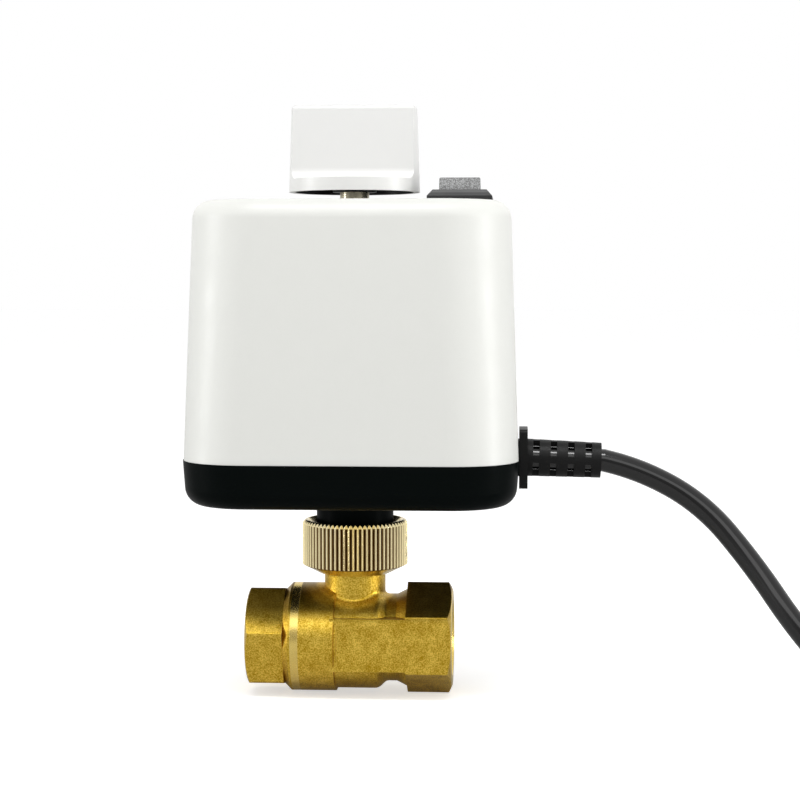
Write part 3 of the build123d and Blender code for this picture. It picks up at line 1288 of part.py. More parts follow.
# Cable inside the gland, its end cut square to the free stretch
with BuildPart() as cable_entry:
    with BuildSketch(along_relief(-BORE_BACK)):
        Circle(CABLE_D / 2)
    extrude(amount=BORE_BACK + RELIEF_L + CABLE_D)
    split(bisect_by=Plane(POINTS[0], z_dir=RUNS[0]), keep=Keep.BOTTOM)
cable_entry.part.label = "cable_entry"

# Terminal block on the base's floor, and the leads from the cable's cores
WIRE_Z = BASE_FLOOR_Z + BLOCK_H / 2
LANES = [-BLOCK_PITCH, 0, BLOCK_PITCH]
with BuildPart() as terminal_block:
    with BuildSketch(off_stem(BLOCK_X, 0, BASE_FLOOR_Z)):
        Rectangle(BLOCK_L, BLOCK_W)
    extrude(amount=BLOCK_H)
    with BuildSketch(off_stem(BLOCK_X, 0, WIRE_Z)):
        with Locations(*[(0, lane) for lane in LANES]):
            Circle(SCREW_D / 2 + SEAT_GAP)
    extrude(amount=BLOCK_H / 2, mode=Mode.SUBTRACT)
    with BuildSketch(across_flow(BLOCK_X)):
        with Locations(*[(lane, WIRE_Z) for lane in LANES]):
            Circle(CORE_D / 2)
    extrude(amount=BLOCK_L / 2, mode=Mode.SUBTRACT)
terminal_block.part.label = "terminal_block"

with BuildPart() as terminal_screws:
    with BuildSketch(off_stem(BLOCK_X, 0, WIRE_Z + CORE_D / 2)):
        with Locations(*[(0, lane) for lane in LANES]):
            Circle(SCREW_D / 2)
    extrude(amount=(BLOCK_H - CORE_D) / 2 - FREE_GAP)
terminal_screws.part.label = "terminal_screws"

JACKET_END = along_relief(-BORE_BACK).origin
INWARD = -along_relief(0).z_dir
with BuildPart() as lead_wires:
    for lane in LANES:
        side = math.copysign(1, lane) if lane else 0
        wire_start = JACKET_END + Vector(0, side * (CORE_D + SEAT_GAP), 0)
        with BuildLine() as lead:
            Spline(
                wire_start,
                (STEM_X + BLOCK_X + BLOCK_L / 2, lane, WIRE_Z),
                tangents=[INWARD, (-1, 0, 0)],
            )
        with BuildSketch(Plane(wire_start, z_dir=INWARD)):
            Circle(CORE_D / 2)
        sweep(path=lead.wires()[0])
        with BuildSketch(across_flow(BLOCK_X)):
            with Locations((lane, WIRE_Z)):
                Circle(CORE_D / 2)
        extrude(amount=BLOCK_L / 2)
lead_wires.part.label = "lead_wires"

# Coil: the cable wound clockwise on itself, each turn above the last
with BuildPart() as cable_coil:
    with BuildLine() as coil_line:
        winding = Helix(
            COIL_PITCH, COIL_PITCH * COIL_TURNS, COIL_R, lefthand=True, mode=Mode.PRIVATE
        )
        add(Location((STEM_X + COIL_X, COIL_Y, COIL_Z), (0, 0, 90)) * winding)
    coil_path = coil_line.wires()[0]
    with BuildSketch(Plane(coil_path @ 0, z_dir=coil_path % 0)):
        Circle(CABLE_D / 2)
    sweep(is_frenet=True)
cable_coil.part.label = "cable_coil"

# Tie round the three strands on the coil's right side
TIE_LOW_Z = COIL_Z + COIL_PITCH / 4
TIE_STRANDS = 3
TIE_SPAN = COIL_PITCH * (TIE_STRANDS - 1)
TIE_X = STEM_X + COIL_X + COIL_R
TIE_HOLE = CABLE_D + 2 * TIE_GAP
with BuildPart() as cable_tie:
    tie_middle = (TIE_X, COIL_Y - TIE_W / 2, TIE_LOW_Z + TIE_SPAN / 2)
    with BuildSketch(Plane(tie_middle, x_dir=(1, 0, 0), z_dir=(0, 1, 0))):
        SlotCenterToCenter(TIE_SPAN, TIE_HOLE + 2 * TIE_T, rotation=90)
        SlotCenterToCenter(TIE_SPAN, TIE_HOLE, rotation=90, mode=Mode.SUBTRACT)
    extrude(amount=TIE_W)
    with BuildSketch(Plane((TIE_X, COIL_Y, TIE_LOW_Z + TIE_SPAN + TIE_HOLE / 2 + TIE_T / 2))):
        RectangleRounded(TIE_HEAD_L, TIE_HEAD_W, TIE_T)
    extrude(amount=TIE_HEAD_H)
cable_tie.part.label = "cable_tie"

# Cores that leave the cable's end and curve into the ring, each with a tinned tip
coil_end = coil_path @ 1
heading = coil_path % 1
sideways = heading.cross(Vector(0, 0, 1)).normalized()
END_PLANE = Plane(coil_end, x_dir=sideways, z_dir=heading)


def core(label, place, radius, turn):
    """One core: straight out of the jacket, a bend, and a straight end."""
    start = END_PLANE.from_local_coords(Vector(*polar(CORE_STANDOFF, place), 0))
    with BuildPart() as piece:
        with BuildLine(Plane(start, x_dir=heading, z_dir=sideways.cross(heading))):
            out = Line((0, 0), (CORE_D, 0))
            bend = JernArc(out @ 1, out % 1, radius, -turn)
            tail = Line(bend @ 1, bend @ 1 + (bend % 1) * CORE_TAIL_L)
        with BuildSketch(Plane(start, z_dir=heading)):
            Circle(CORE_D / 2)
        sweep()
    piece.part.label = label
    return piece, Plane(tail @ 1, z_dir=tail % 1)


BROWN_PLACE, BLUE_PLACE, BLACK_PLACE = CORE_PLACES
core_brown, brown_end = core("core_brown", BROWN_PLACE, CORE_BEND_R, CORE_TURN)
core_blue, blue_end = core(
    "core_blue", BLUE_PLACE, CORE_BEND_R + CORE_FAN, CORE_TURN - CORE_TURN_STEP
)
core_black, black_end = core(
    "core_black", BLACK_PLACE, CORE_BEND_R + 2 * CORE_FAN, CORE_TURN - 2 * CORE_TURN_STEP
)
with BuildPart() as core_tips:
    for end_plane in (brown_end, blue_end, black_end):
        with BuildSketch(end_plane):
            Circle(CORE_TIP_D / 2)
        extrude(amount=CORE_TIP_L)
core_tips.part.label = "core_tips"

PIECES = [
    valve_body,
    end_cap,
    inlet_seat,
    outlet_seat,
    ball,
    stem,
    stem_rings,
    thrust_washer,
    coupling_nut,
    snap_ring,
    base,
    gasket,
    cover,
    cover_screws,
    lower_plate,
    upper_plate,
    pillars,
    plate_screws,
    lower_bush,
    upper_bush,
    drive_shaft,
    drive_gear,
    idler_gear,
    idler_axle,
    motor,
    motor_pinion,
    motor_screws,
    open_cam,
    shut_cam,
    open_limit_switch,
    shut_limit_switch,
    switch_spacer,
    switch_posts,
    switch_nuts,
    knob,
    knob_screw,
    rocker_box,
    rocker_blades,
    rocker,
    gland,
    cable_entry,
    terminal_block,
    terminal_screws,
    lead_wires,
    cable,
    cable_coil,
    cable_tie,
    core_brown,
    core_blue,
    core_black,
    core_tips,
]
for piece in PIECES:
    export_step(piece.part, f"parts/{piece.part.label}.step")

# Sizes of the cable, and the least gap between two turns of its coil
cable_length = cable.part.volume / (math.pi * CABLE_D**2 / 4)
path_length = sum(run.length for run in RUNS)
for run, following, radius in zip(RUNS, RUNS[1:], RADII):
    half_turn = math.radians(run.get_angle(following)) / 2
    path_length -= 2 * radius * (math.tan(half_turn) - half_turn)
steps = 300
marks = [coil_path @ (step / steps) for step in range(steps + 1)]
apart = math.ceil(math.pi * CABLE_D / (coil_path.length / steps))
least = min(
    (marks[a] - marks[b]).length for a in range(steps) for b in range(a + apart, steps + 1)
)
print("pieces", len(PIECES))
print("cable radii", [round(radius, 1) for radius in RADII])
print("cable runs", [round(run.length, 1) for run in RUNS])
print("cable length by volume", round(cable_length, 2), "by path", round(path_length, 2))
print("coil length", round(coil_path.length, 1), "least gap", round(least - CABLE_D, 2))
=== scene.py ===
# %% [markdown]
# # A motorized ball valve
#
# A brass ball valve stands in a pipe and a geared motor on top of it turns its ball.
# The solid shapes come ready made, one object for each piece.
# This lesson gives each piece its finish, makes the details that are too fine for the
# solids, lays the cable, and sets up the studio and the camera.

import math

import bmesh
import bpy
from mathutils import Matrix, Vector


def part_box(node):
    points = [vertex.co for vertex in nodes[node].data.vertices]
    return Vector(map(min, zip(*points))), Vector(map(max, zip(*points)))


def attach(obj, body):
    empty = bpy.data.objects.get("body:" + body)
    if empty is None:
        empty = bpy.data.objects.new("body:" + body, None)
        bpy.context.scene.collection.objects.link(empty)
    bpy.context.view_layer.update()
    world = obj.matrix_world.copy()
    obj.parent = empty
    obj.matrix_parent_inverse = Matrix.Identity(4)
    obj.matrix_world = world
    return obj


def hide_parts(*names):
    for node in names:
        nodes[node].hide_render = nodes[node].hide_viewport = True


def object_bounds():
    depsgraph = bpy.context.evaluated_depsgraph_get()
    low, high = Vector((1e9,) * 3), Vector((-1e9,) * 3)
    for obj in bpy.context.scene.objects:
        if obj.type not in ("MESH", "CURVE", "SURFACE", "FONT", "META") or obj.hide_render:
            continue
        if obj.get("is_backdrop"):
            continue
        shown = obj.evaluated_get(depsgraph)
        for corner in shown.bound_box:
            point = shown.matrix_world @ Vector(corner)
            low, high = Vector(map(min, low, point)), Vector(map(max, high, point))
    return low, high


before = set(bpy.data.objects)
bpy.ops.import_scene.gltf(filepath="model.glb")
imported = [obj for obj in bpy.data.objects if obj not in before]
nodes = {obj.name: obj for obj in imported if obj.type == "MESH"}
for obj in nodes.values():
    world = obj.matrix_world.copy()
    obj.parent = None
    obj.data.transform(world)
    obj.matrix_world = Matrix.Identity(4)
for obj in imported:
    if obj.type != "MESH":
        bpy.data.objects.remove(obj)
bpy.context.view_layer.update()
print("pieces in the solid model:", len(nodes))

# %% [markdown]
# ## Places
#
# The solid model is in millimetres and Blender works in metres, so one helper turns the
# first into the second. Heights are counted from the flow axis. The stem axis is the
# middle of the whole thing, and most places are counted from it.

# %% Millimetres to metres, counted from the stem axis
MM = 0.001
STEM_X = 28.0
FLOOR_Z = -15.4


def at(x, y, z):
    """A point counted from the stem axis in millimetres, as a vector in metres."""
    return Vector(((STEM_X + x) * MM, y * MM, z * MM))


def add(name, data):
    """A new object in the scene, made of this data."""
    made = bpy.data.objects.new(name, data)
    bpy.context.scene.collection.objects.link(made)
    return made


print("stem axis at", at(0, 0, 0))

# %% [markdown]
# ## The camera
#
# The photograph was taken from in front and a little above the middle of the housing,
# with a fairly long lens. The housing's underside and the top of the coupling nut both
# show as slim ellipses, and they give the height of the lens. How wide the housing
# looks beside the small end of the valve gives its distance.

# %% Place the camera
LENS_HEIGHT = 99.7
LENS_DISTANCE = 518.0
LENS_ASIDE = 12.4
LENS_TURN = math.radians(3.5)
LENS_PITCH = math.radians(3.75)
LENS_LENGTH = 84.8
SENSOR_WIDTH = 36
NEAREST_SEEN = 0.01

to_the_right = Vector((math.cos(LENS_TURN), math.sin(LENS_TURN), 0))
into_the_scene = Vector((-math.sin(LENS_TURN), math.cos(LENS_TURN), 0))
camera = add("camera", bpy.data.cameras.new("camera"))
bpy.context.scene.camera = camera
camera.data.lens = LENS_LENGTH
camera.data.sensor_width = SENSOR_WIDTH
camera.data.clip_start = NEAREST_SEEN
camera.location = (
    at(0, 0, LENS_HEIGHT)
    + to_the_right * LENS_ASIDE * MM
    - into_the_scene * LENS_DISTANCE * MM
)
camera.rotation_euler = (math.pi / 2 - LENS_PITCH, 0, LENS_TURN)
print("camera at", camera.location)

# %% [markdown]
# ## Sums in a tree of nodes
#
# A material's nodes can be placed and linked one by one, or written as plain sums,
# which are easier to read. This small class stands for one output of a node, and a sum
# with it adds the Math nodes.

# %% A class for the outputs of nodes


class Wire:
    """One output of a node, which can be used in sums."""

    def __init__(self, graph, socket):
        self.graph = graph
        self.socket = socket

    def sum(self, operation, *values):
        return self.graph.node("ShaderNodeMath", {"operation": operation}, dict(enumerate(values)))

    def __add__(self, other):
        return self.sum("ADD", self, other)

    def __sub__(self, other):
        return self.sum("SUBTRACT", self, other)

    def __rsub__(self, other):
        return self.sum("SUBTRACT", other, self)

    def __mul__(self, other):
        return self.sum("MULTIPLY", self, other)

    def __gt__(self, other):
        return self.sum("GREATER_THAN", self, other)

    def __lt__(self, other):
        return self.sum("LESS_THAN", self, other)

    __radd__ = __add__
    __rmul__ = __mul__

    def power(self, exponent):
        return self.sum("POWER", self, exponent)

    def sine(self):
        return self.sum("SINE", self)

    def larger(self, other):
        return self.sum("MAXIMUM", self, other)

    def between(self, low, high):
        return (self > low) * (self < high)


def distance(first, second):
    """How far a point is from the axis on which both of these coordinates are nought."""
    return (first * first + second * second).power(0.5)


print("outputs of nodes can be added, subtracted, multiplied and compared")

# %% [markdown]
# Every other node comes from one method, which takes the node's type, its settings, and
# what goes into its sockets. Materials, shapes and the world are all trees of nodes, so
# they share it.

# %% A class for trees of nodes


class Graph:
    """A tree of nodes, of a material, a shape or the world."""

    def __init__(self, tree):
        self.tree = tree

    def put(self, socket, value):
        """A value, a colour, a link or a list of links goes into a socket."""
        if isinstance(value, list):
            for one in value:
                self.put(socket, one)
        elif isinstance(value, Wire):
            self.tree.links.new(value.socket, socket)
        elif isinstance(value, tuple) and len(value) == 3 and socket.type == "RGBA":
            socket.default_value = (*value, 1.0)
        else:
            socket.default_value = value

    def node(self, kind, settings, sockets, output=0):
        """A new node, of which one output is kept."""
        made = self.tree.nodes.new(kind)
        for name, value in settings.items():
            setattr(made, name, value)
        for name, value in sockets.items():
            self.put(made.inputs[name], value)
        return Wire(self, made.outputs[output])

    def split(self, vector):
        """The three numbers of a vector."""
        first = self.node("ShaderNodeSeparateXYZ", {}, {0: vector})
        return [Wire(self, socket) for socket in first.socket.node.outputs]

    def ramp(self, value, low, high, start=0.0, end=1.0):
        """A value stretched from one range to another and held inside it."""
        sockets = {0: value, 1: low, 2: high, 3: start, 4: end}
        return self.node("ShaderNodeMapRange", {"clamp": True}, sockets)


print("trees of nodes can be written")

# %% [markdown]
# ## What every finish needs
#
# A finish is a Principled shader with some noise behind its sockets. Noise is measured
# on the whole object and in millimetres, so that a grain has the same size on every
# piece. Most of its values lie between 0.3 and 0.7, and the rest is cut off where a
# roughness follows it.

# %% A class for finishes
NOISE_LOW = 0.3
NOISE_HIGH = 0.7


class Finish(Graph):
    """A material with its shader and the nodes that paint it."""

    def __init__(self, name, colour, roughness, metallic=0.0, specular=0.5):
        self.material = bpy.data.materials.new(name)
        self.material.use_nodes = True
        super().__init__(self.material.node_tree)
        self.shader = self.tree.nodes["Principled BSDF"]
        self.set("Base Color", colour)
        self.set("Roughness", roughness)
        self.set("Metallic", metallic)
        self.set("Specular IOR Level", specular)

    def set(self, name, value):
        self.put(self.shader.inputs[name], value)

    def place(self):
        """Where a point of the surface is on the whole object, in metres."""
        return self.node("ShaderNodeTexCoord", {}, {}, "Object")

    def noise(self, size, detail=3.0, roughness=0.5):
        """Cloudy noise whose spots are about this size in millimetres."""
        sockets = {
            "Vector": self.place(),
            "Scale": 1 / (size * MM),
            "Detail": detail,
            "Roughness": roughness,
        }
        return self.node("ShaderNodeTexNoise", {"noise_dimensions": "3D"}, sockets)

    def wander(self, noise, least, most):
        """A value that follows a noise from its low spots to its high ones."""
        return self.ramp(noise, NOISE_LOW, NOISE_HIGH, least, most)

    def mix(self, share, first, second):
        """A colour between two colours."""
        return self.node("ShaderNodeMix", {"data_type": "RGBA"}, {0: share, 6: first, 7: second}, 2)

    def bump(self, height, depth, below=None):
        """A normal that follows a height of 0 to 1, this many millimetres deep."""
        sockets = {"Height": height, "Distance": depth * MM, "Strength": 1.0}
        if below:
            sockets["Normal"] = below
        return self.node("ShaderNodeBump", {}, sockets)


def darker(colour, share):
    """This share of a colour."""
    return tuple(channel * share for channel in colour)


def paint(finish, *names):
    """The finish goes on the solids with these names."""
    for name in names:
        for slot in nodes[name].material_slots:
            slot.material = finish.material


print("finishes can be made")

# %% [markdown]
# ## Forged brass
#
# The valve's body and its end cap are hot forged and then blasted with shot, which
# leaves a fine even grain that sparkles, under clouds of lighter and darker brass. A
# photograph of the metal could be laid on, but noise has no seams and no edge. The top
# of the body, under the housing and clear of the neck, gets a painted shade: a painted
# reflection of the black base above it.

# %% The skin that forging and blasting leave, and a painted shade on the top
# The skin's darkest colour, also used for the painted shade in the thread roots.
FORGED_DARK_AND_ROOT_SHADE = (0.38, 0.22, 0.006)
FORGED_BRIGHT = (0.96, 0.69, 0.125)
FORGED_ROUGHNESS = 0.34
GRAIN_SIZE = 0.36
GRAIN_LOW = 0.36
GRAIN_HIGH = 0.66
GRAIN_SHARE = 0.7
CLOUD_SIZE = 3.5
CLOUD_SHARE = 1.1
BRIGHT_SHARE = 0.03
# A painted shade on the top of the body: a painted reflection of the black base above.
PAINTED_TOP_SHADE = (0.07, 0.035, 0.002)
TOP_SHADE_SHARE = 0.65
TOP_SHADE_LOW_Z = 6.0
TOP_SHADE_HIGH_Z = 9.5
NECK_FOOT_R = 9.8
NECK_FOOT_EDGE_R = 11.2


def forged_skin(finish, grain, from_stem, z):
    """The colour of the blasted skin, with a painted shade on its top."""
    clouds = finish.noise(CLOUD_SIZE, detail=4.0, roughness=0.7)
    bright = grain * GRAIN_SHARE + (clouds - 0.5) * CLOUD_SHARE + BRIGHT_SHARE
    skin = finish.mix(bright, FORGED_DARK_AND_ROOT_SHADE, FORGED_BRIGHT)
    # Painted shade on the top of the body, clear of the neck's foot.
    high = finish.ramp(z, TOP_SHADE_LOW_Z * MM, TOP_SHADE_HIGH_Z * MM)
    clear = finish.ramp(from_stem, NECK_FOOT_R * MM, NECK_FOOT_EDGE_R * MM)
    return finish.mix(high * clear * TOP_SHADE_SHARE, skin, PAINTED_TOP_SHADE)


print("the skin's colours go from", FORGED_DARK_AND_ROOT_SHADE, "to", FORGED_BRIGHT)

# %% [markdown]
# Machining has cut through the skin on a ring beside the cap, on the end faces and in
# the ports, and there the brass is bright. One finish does both: masks made from the
# place along the flow and from the distance to the flow axis pick the cut parts, and
# fine rings on the bump stand for tool marks. The roots of the threads get a painted
# shade, in the skin's darkest colour.

# %% Brass as it comes from the forge, and as it is cut
CUT_BRASS = (0.74, 0.55, 0.16)
CUT_ROUGHNESS = 0.22
RING_LEFT_X = STEM_X - 16.7
RING_RIGHT_X = STEM_X - 14.5
INLET_FACE_X = -1.3
OUTLET_FACE_X = STEM_X + 27.1
FACE_DEPTH = 0.25
PORT_R = 10.9
THREAD_CREST_R = 9.1
THREAD_ROOT_R = 9.3
PORT_WALL_R = 9.33
# How much painted shade the thread roots get.
ROOT_SHADE_SHARE = 0.6
GRAIN_DEPTH = 0.06
GRAIN_ROUGHNESS = 0.06
TOOL_MARK_PITCH = 0.3
TOOL_MARK_DEPTH = 0.004


def forged_brass():
    """Blasted skin with cut faces."""
    finish = Finish("forged_brass", FORGED_DARK_AND_ROOT_SHADE, FORGED_ROUGHNESS, metallic=1.0)
    x, y, z = finish.split(finish.place())
    from_axis = distance(y, z)
    spots = finish.noise(GRAIN_SIZE, detail=2.0, roughness=0.65)
    grain = finish.ramp(spots, GRAIN_LOW, GRAIN_HIGH)
    skin = forged_skin(finish, grain, distance(x - STEM_X * MM, y), z)

    ring = x.between(RING_LEFT_X * MM, RING_RIGHT_X * MM)
    inlet_face = x < (INLET_FACE_X + FACE_DEPTH) * MM
    outlet_face = x > (OUTLET_FACE_X - FACE_DEPTH) * MM
    port = from_axis < PORT_R * MM
    cut = finish.ramp(ring + inlet_face + outlet_face + port, 0.0, 1.0)
    # Painted shade in the roots of the threads.
    root_shade = finish.ramp(from_axis, THREAD_CREST_R * MM, THREAD_ROOT_R * MM)
    root_shade = root_shade * (from_axis < PORT_WALL_R * MM)
    machined = finish.mix(root_shade * ROOT_SHADE_SHARE, CUT_BRASS, FORGED_DARK_AND_ROOT_SHADE)
    finish.set("Base Color", finish.mix(cut, skin, machined))

    shine = finish.ramp(cut, 0.0, 1.0, FORGED_ROUGHNESS, CUT_ROUGHNESS)
    finish.set("Roughness", shine + grain * GRAIN_ROUGHNESS)
    marks = ((from_axis + x) * (math.tau / (TOOL_MARK_PITCH * MM))).sine()
    blasted = finish.bump(spots * (1 - cut), GRAIN_DEPTH)
    finish.set("Normal", finish.bump(marks * cut, TOOL_MARK_DEPTH, blasted))
    return finish


brass = forged_brass()
paint(brass, "valve_body", "end_cap")
print("nodes of the forged brass:", len(brass.tree.nodes))

# %% [markdown]
# ## Turned brass
#
# The coupling nut is turned and knurled from bar. Its ridges keep the bright brass and
# its grooves get a painted shade, so the colour follows the distance from the stem
# axis, from the floor of a groove to the top of a ridge.

# %% The knurled nut
RIDGE_BRASS = (1.0, 0.86, 0.5)
# The painted shade in the grooves of the knurl.
PAINTED_GROOVE_SHADE = (0.11, 0.05, 0.008)
GROOVE_R = 14.05
RIDGE_R = 14.35
KNURL_LOW_Z = 20.2
KNURL_HIGH_Z = 31.7
NUT_SMOOTHEST = 0.14
NUT_ROUGHEST = 0.26
GROOVE_ROUGHNESS = 0.2
NUT_WEAR_SIZE = 3.0
NUT_MARK_SIZE = 0.5
NUT_MARK_DEPTH = 0.006


def knurled_brass():
    """Turned brass whose knurl is bright on the ridges and has a painted shade in the grooves."""
    finish = Finish("knurled_brass", RIDGE_BRASS, NUT_SMOOTHEST, metallic=1.0)
    x, y, z = finish.split(finish.place())
    knurl = z.between(KNURL_LOW_Z * MM, KNURL_HIGH_Z * MM)
    height = finish.ramp(distance(x - STEM_X * MM, y), GROOVE_R * MM, RIDGE_R * MM)
    # Painted shade in the grooves of the knurl.
    groove_shade = knurl * (1 - height)
    finish.set("Base Color", finish.mix(groove_shade, RIDGE_BRASS, PAINTED_GROOVE_SHADE))
    shine = finish.wander(finish.noise(NUT_WEAR_SIZE), NUT_SMOOTHEST, NUT_ROUGHEST)
    finish.set("Roughness", shine + groove_shade * GROOVE_ROUGHNESS)
    marks = finish.noise(NUT_MARK_SIZE, detail=2.0)
    finish.set("Normal", finish.bump(marks, NUT_MARK_DEPTH))
    return finish


paint(knurled_brass(), "coupling_nut")
print("the knurl is bright from a radius of", RIDGE_R, "mm")

# %% [markdown]
# The bushes, the stem and the contacts are cut from brass bar too and never polished.
# One noise stands for the marks of the tool, in the shine, the colour and the bump.

# %% Plain brass bar
BAR_BRASS = (0.7, 0.52, 0.24)
BAR_SHADE = 0.82
BAR_SHADE_SHARE = 0.3
BAR_SMOOTHEST = 0.24
BAR_ROUGHEST = 0.375
BAR_MARK_SIZE = 2.0
BAR_MARK_DEPTH = 0.01


def turned_brass():
    """Cut brass with faint tool marks."""
    finish = Finish("bar_brass", BAR_BRASS, BAR_SMOOTHEST, metallic=1.0)
    marks = finish.noise(BAR_MARK_SIZE, detail=2.0)
    finish.set("Roughness", finish.wander(marks, BAR_SMOOTHEST, BAR_ROUGHEST))
    shaded = finish.mix(marks * BAR_SHADE_SHARE, BAR_BRASS, darker(BAR_BRASS, BAR_SHADE))
    finish.set("Base Color", shaded)
    finish.set("Normal", finish.bump(marks, BAR_MARK_DEPTH))
    return finish


bar_brass = turned_brass()
paint(bar_brass, "stem", "motor_pinion", "rocker_blades", "terminal_screws")
paint(bar_brass, "lower_bush", "upper_bush")
print("nodes of the bar brass:", len(bar_brass.tree.nodes))

# %% [markdown]
# ## Steel
#
# The drive shaft, the plates and the gears inside are plain steel. The shaft shows for
# a few millimetres between the cover and the knob, so it gets a slight straw tint. The
# ball is plated with chrome, which is smoother and so brighter.

# %% Steel and chromed pieces
STEEL = (0.55, 0.55, 0.56)
SHAFT_STEEL = (0.5, 0.46, 0.34)
BALL_CHROME = (0.78, 0.78, 0.8)
IN_THE_GEARBOX = (
    "plate_screws",
    "pillars",
    "idler_axle",
    "motor_screws",
    "switch_posts",
    "switch_nuts",
    "lower_plate",
    "upper_plate",
    "drive_gear",
    "idler_gear",
    "motor",
)
STEEL_GRAIN_SIZE = 1.2
STEEL_GRAIN_DEPTH = 0.01
SMOOTHER = 0.85
ROUGHER = 1.2


def drawn_steel(name, colour, roughness):
    """Steel with a fine grain and slightly uneven shine."""
    finish = Finish(name, colour, roughness, metallic=1.0)
    grain = finish.noise(STEEL_GRAIN_SIZE, detail=4.0)
    finish.set("Roughness", finish.wander(grain, roughness * SMOOTHER, roughness * ROUGHER))
    finish.set("Normal", finish.bump(grain, STEEL_GRAIN_DEPTH))
    return finish


steel = drawn_steel("steel", STEEL, roughness=0.34)
paint(steel, "snap_ring", *IN_THE_GEARBOX)
paint(drawn_steel("shaft_steel", SHAFT_STEEL, roughness=0.28), "drive_shaft")
paint(drawn_steel("ball_chrome", BALL_CHROME, roughness=0.1), "ball")
print("steel pieces in the gearbox:", len(IN_THE_GEARBOX))

# %% [markdown]
# ## Moulded plastic
#
# Moulded plastic is never quite smooth: a tool leaves a faint sheen that varies over
# some millimetres, and a spark eroded tool leaves a grain. Both are noise, one wide and
# one fine, and both also shift the colour a little. One recipe serves every moulded
# piece, and only its numbers change.

# %% One recipe for every moulded piece
SHEEN_SIZE = 9.0
SHEEN_SHARE = 0.5
GRAIN_IN_COLOUR = 0.3
PLASTIC_SHADE = 0.94


def moulded(name, colour, roughness, grain_size, grain_depth, uneven=0.12, specular=0.5):
    """Moulded plastic with a tool grain and a sheen that wanders."""
    finish = Finish(name, colour, roughness, specular=specular)
    sheen = finish.noise(SHEEN_SIZE, detail=2.0)
    grain = finish.noise(grain_size, detail=2.0)
    shine = finish.wander(sheen, roughness - uneven / 2, roughness + uneven / 2)
    finish.set("Roughness", shine)
    share = sheen * SHEEN_SHARE + grain * GRAIN_IN_COLOUR
    finish.set("Base Color", finish.mix(share, colour, darker(colour, PLASTIC_SHADE)))
    finish.set("Normal", finish.bump(grain, grain_depth))
    return finish


print("the darkest shade of a plastic is", PLASTIC_SHADE, "of its colour")

# %% [markdown]
# The cover and the knob are white, the base and the gland black. The base is so dull
# that it gives back hardly any light, and the specular level of its shader says so. The
# knob is hollow underneath, where no light gets in, so its hollow is painted black.

# %% The housing, the knob and the gland
COVER_WHITE = (0.74, 0.745, 0.71)
KNOB_WHITE = (0.755, 0.755, 0.74)
KNOB_SHADE = 0.97
KNOB_HOLLOW_R = 16.2
KNOB_HOLLOW_TOP_Z = 124.4
BASE_BLACK = (0.002, 0.0032, 0.003)
BASE_SPECULAR = 0.02
# The gland's own black, also used for the painted shade in the knob's hollow.
GLAND_BLACK_AND_HOLLOW_SHADE = (0.005, 0.005, 0.005)
GLAND_SPECULAR = 0.15


def knob_white():
    """White plastic outside, and a black painted shade in the recess underneath."""
    finish = moulded("knob_white", KNOB_WHITE, roughness=0.36, grain_size=0.6, grain_depth=0.005)
    x, y, z = finish.split(finish.place())
    # Painted shade: the knob's hollow underneath is black, where no light gets in.
    inside = distance(x - STEM_X * MM, y) < KNOB_HOLLOW_R * MM
    hollow_shade = inside * (z < KNOB_HOLLOW_TOP_Z * MM)
    sheen = finish.noise(SHEEN_SIZE, detail=2.0)
    white = finish.mix(sheen, KNOB_WHITE, darker(KNOB_WHITE, KNOB_SHADE))
    finish.set("Base Color", finish.mix(hollow_shade, white, GLAND_BLACK_AND_HOLLOW_SHADE))
    return finish


cover_white = moulded(
    "cover_white",
    COVER_WHITE,
    roughness=0.42,
    grain_size=0.5,
    grain_depth=0.006,
)
base_black = moulded(
    "base_black",
    BASE_BLACK,
    roughness=0.34,
    grain_size=0.5,
    grain_depth=0.008,
    uneven=0.1,
    specular=BASE_SPECULAR,
)
gland_black = moulded(
    "gland_black",
    GLAND_BLACK_AND_HOLLOW_SHADE,
    roughness=0.45,
    grain_size=0.35,
    grain_depth=0.02,
    uneven=0.1,
    specular=GLAND_SPECULAR,
)
paint(cover_white, "cover")
paint(knob_white(), "knob")
paint(base_black, "base")
paint(gland_black, "gland")
print("the cover is", COVER_WHITE, "and the base", BASE_BLACK)

# %% [markdown]
# The rocker has the strongest grain of all, dark pits in grey, and the rim of its bezel
# is grey where it slopes. A mask made from the height picks the rim.

# %% The rocker switch
SWITCH_BLACK = (0.004, 0.004, 0.004)
ROCKER_GREY = (0.3, 0.305, 0.305)
ROCKER_DARK = (0.1, 0.1, 0.1)
PIT_SIZE = 0.34
PIT_LOW = 0.38
PIT_HIGH = 0.62
SWITCH_MOULD = {"roughness": 0.5, "grain_size": 0.4, "grain_depth": 0.01}
BEZEL_GREY = (0.055, 0.055, 0.055)
RIM_LOW_Z = 121.95
RIM_HIGH_Z = 122.25


def bezel_black():
    """Black plastic with a grey sloping rim."""
    finish = moulded("bezel_black", SWITCH_BLACK, **SWITCH_MOULD)
    z = finish.split(finish.place())[2]
    slope = finish.ramp(z, RIM_LOW_Z * MM, RIM_HIGH_Z * MM)
    finish.set("Base Color", finish.mix(slope, SWITCH_BLACK, BEZEL_GREY))
    return finish


def rocker_grey():
    """Grey plastic with a strong spark eroded grain."""
    finish = moulded("rocker_grey", ROCKER_GREY, roughness=0.55, grain_size=0.4, grain_depth=0.05)
    pits = finish.ramp(finish.noise(PIT_SIZE, detail=1.0), PIT_LOW, PIT_HIGH)
    finish.set("Base Color", finish.mix(pits, ROCKER_DARK, ROCKER_GREY))
    return finish


switch_black = moulded("switch_black", SWITCH_BLACK, **SWITCH_MOULD)
paint(bezel_black(), "rocker_box")
paint(rocker_grey(), "rocker")
paint(switch_black, "open_limit_switch", "shut_limit_switch", "switch_spacer")
print("the rim of the bezel is grey above", RIM_HIGH_Z, "mm")

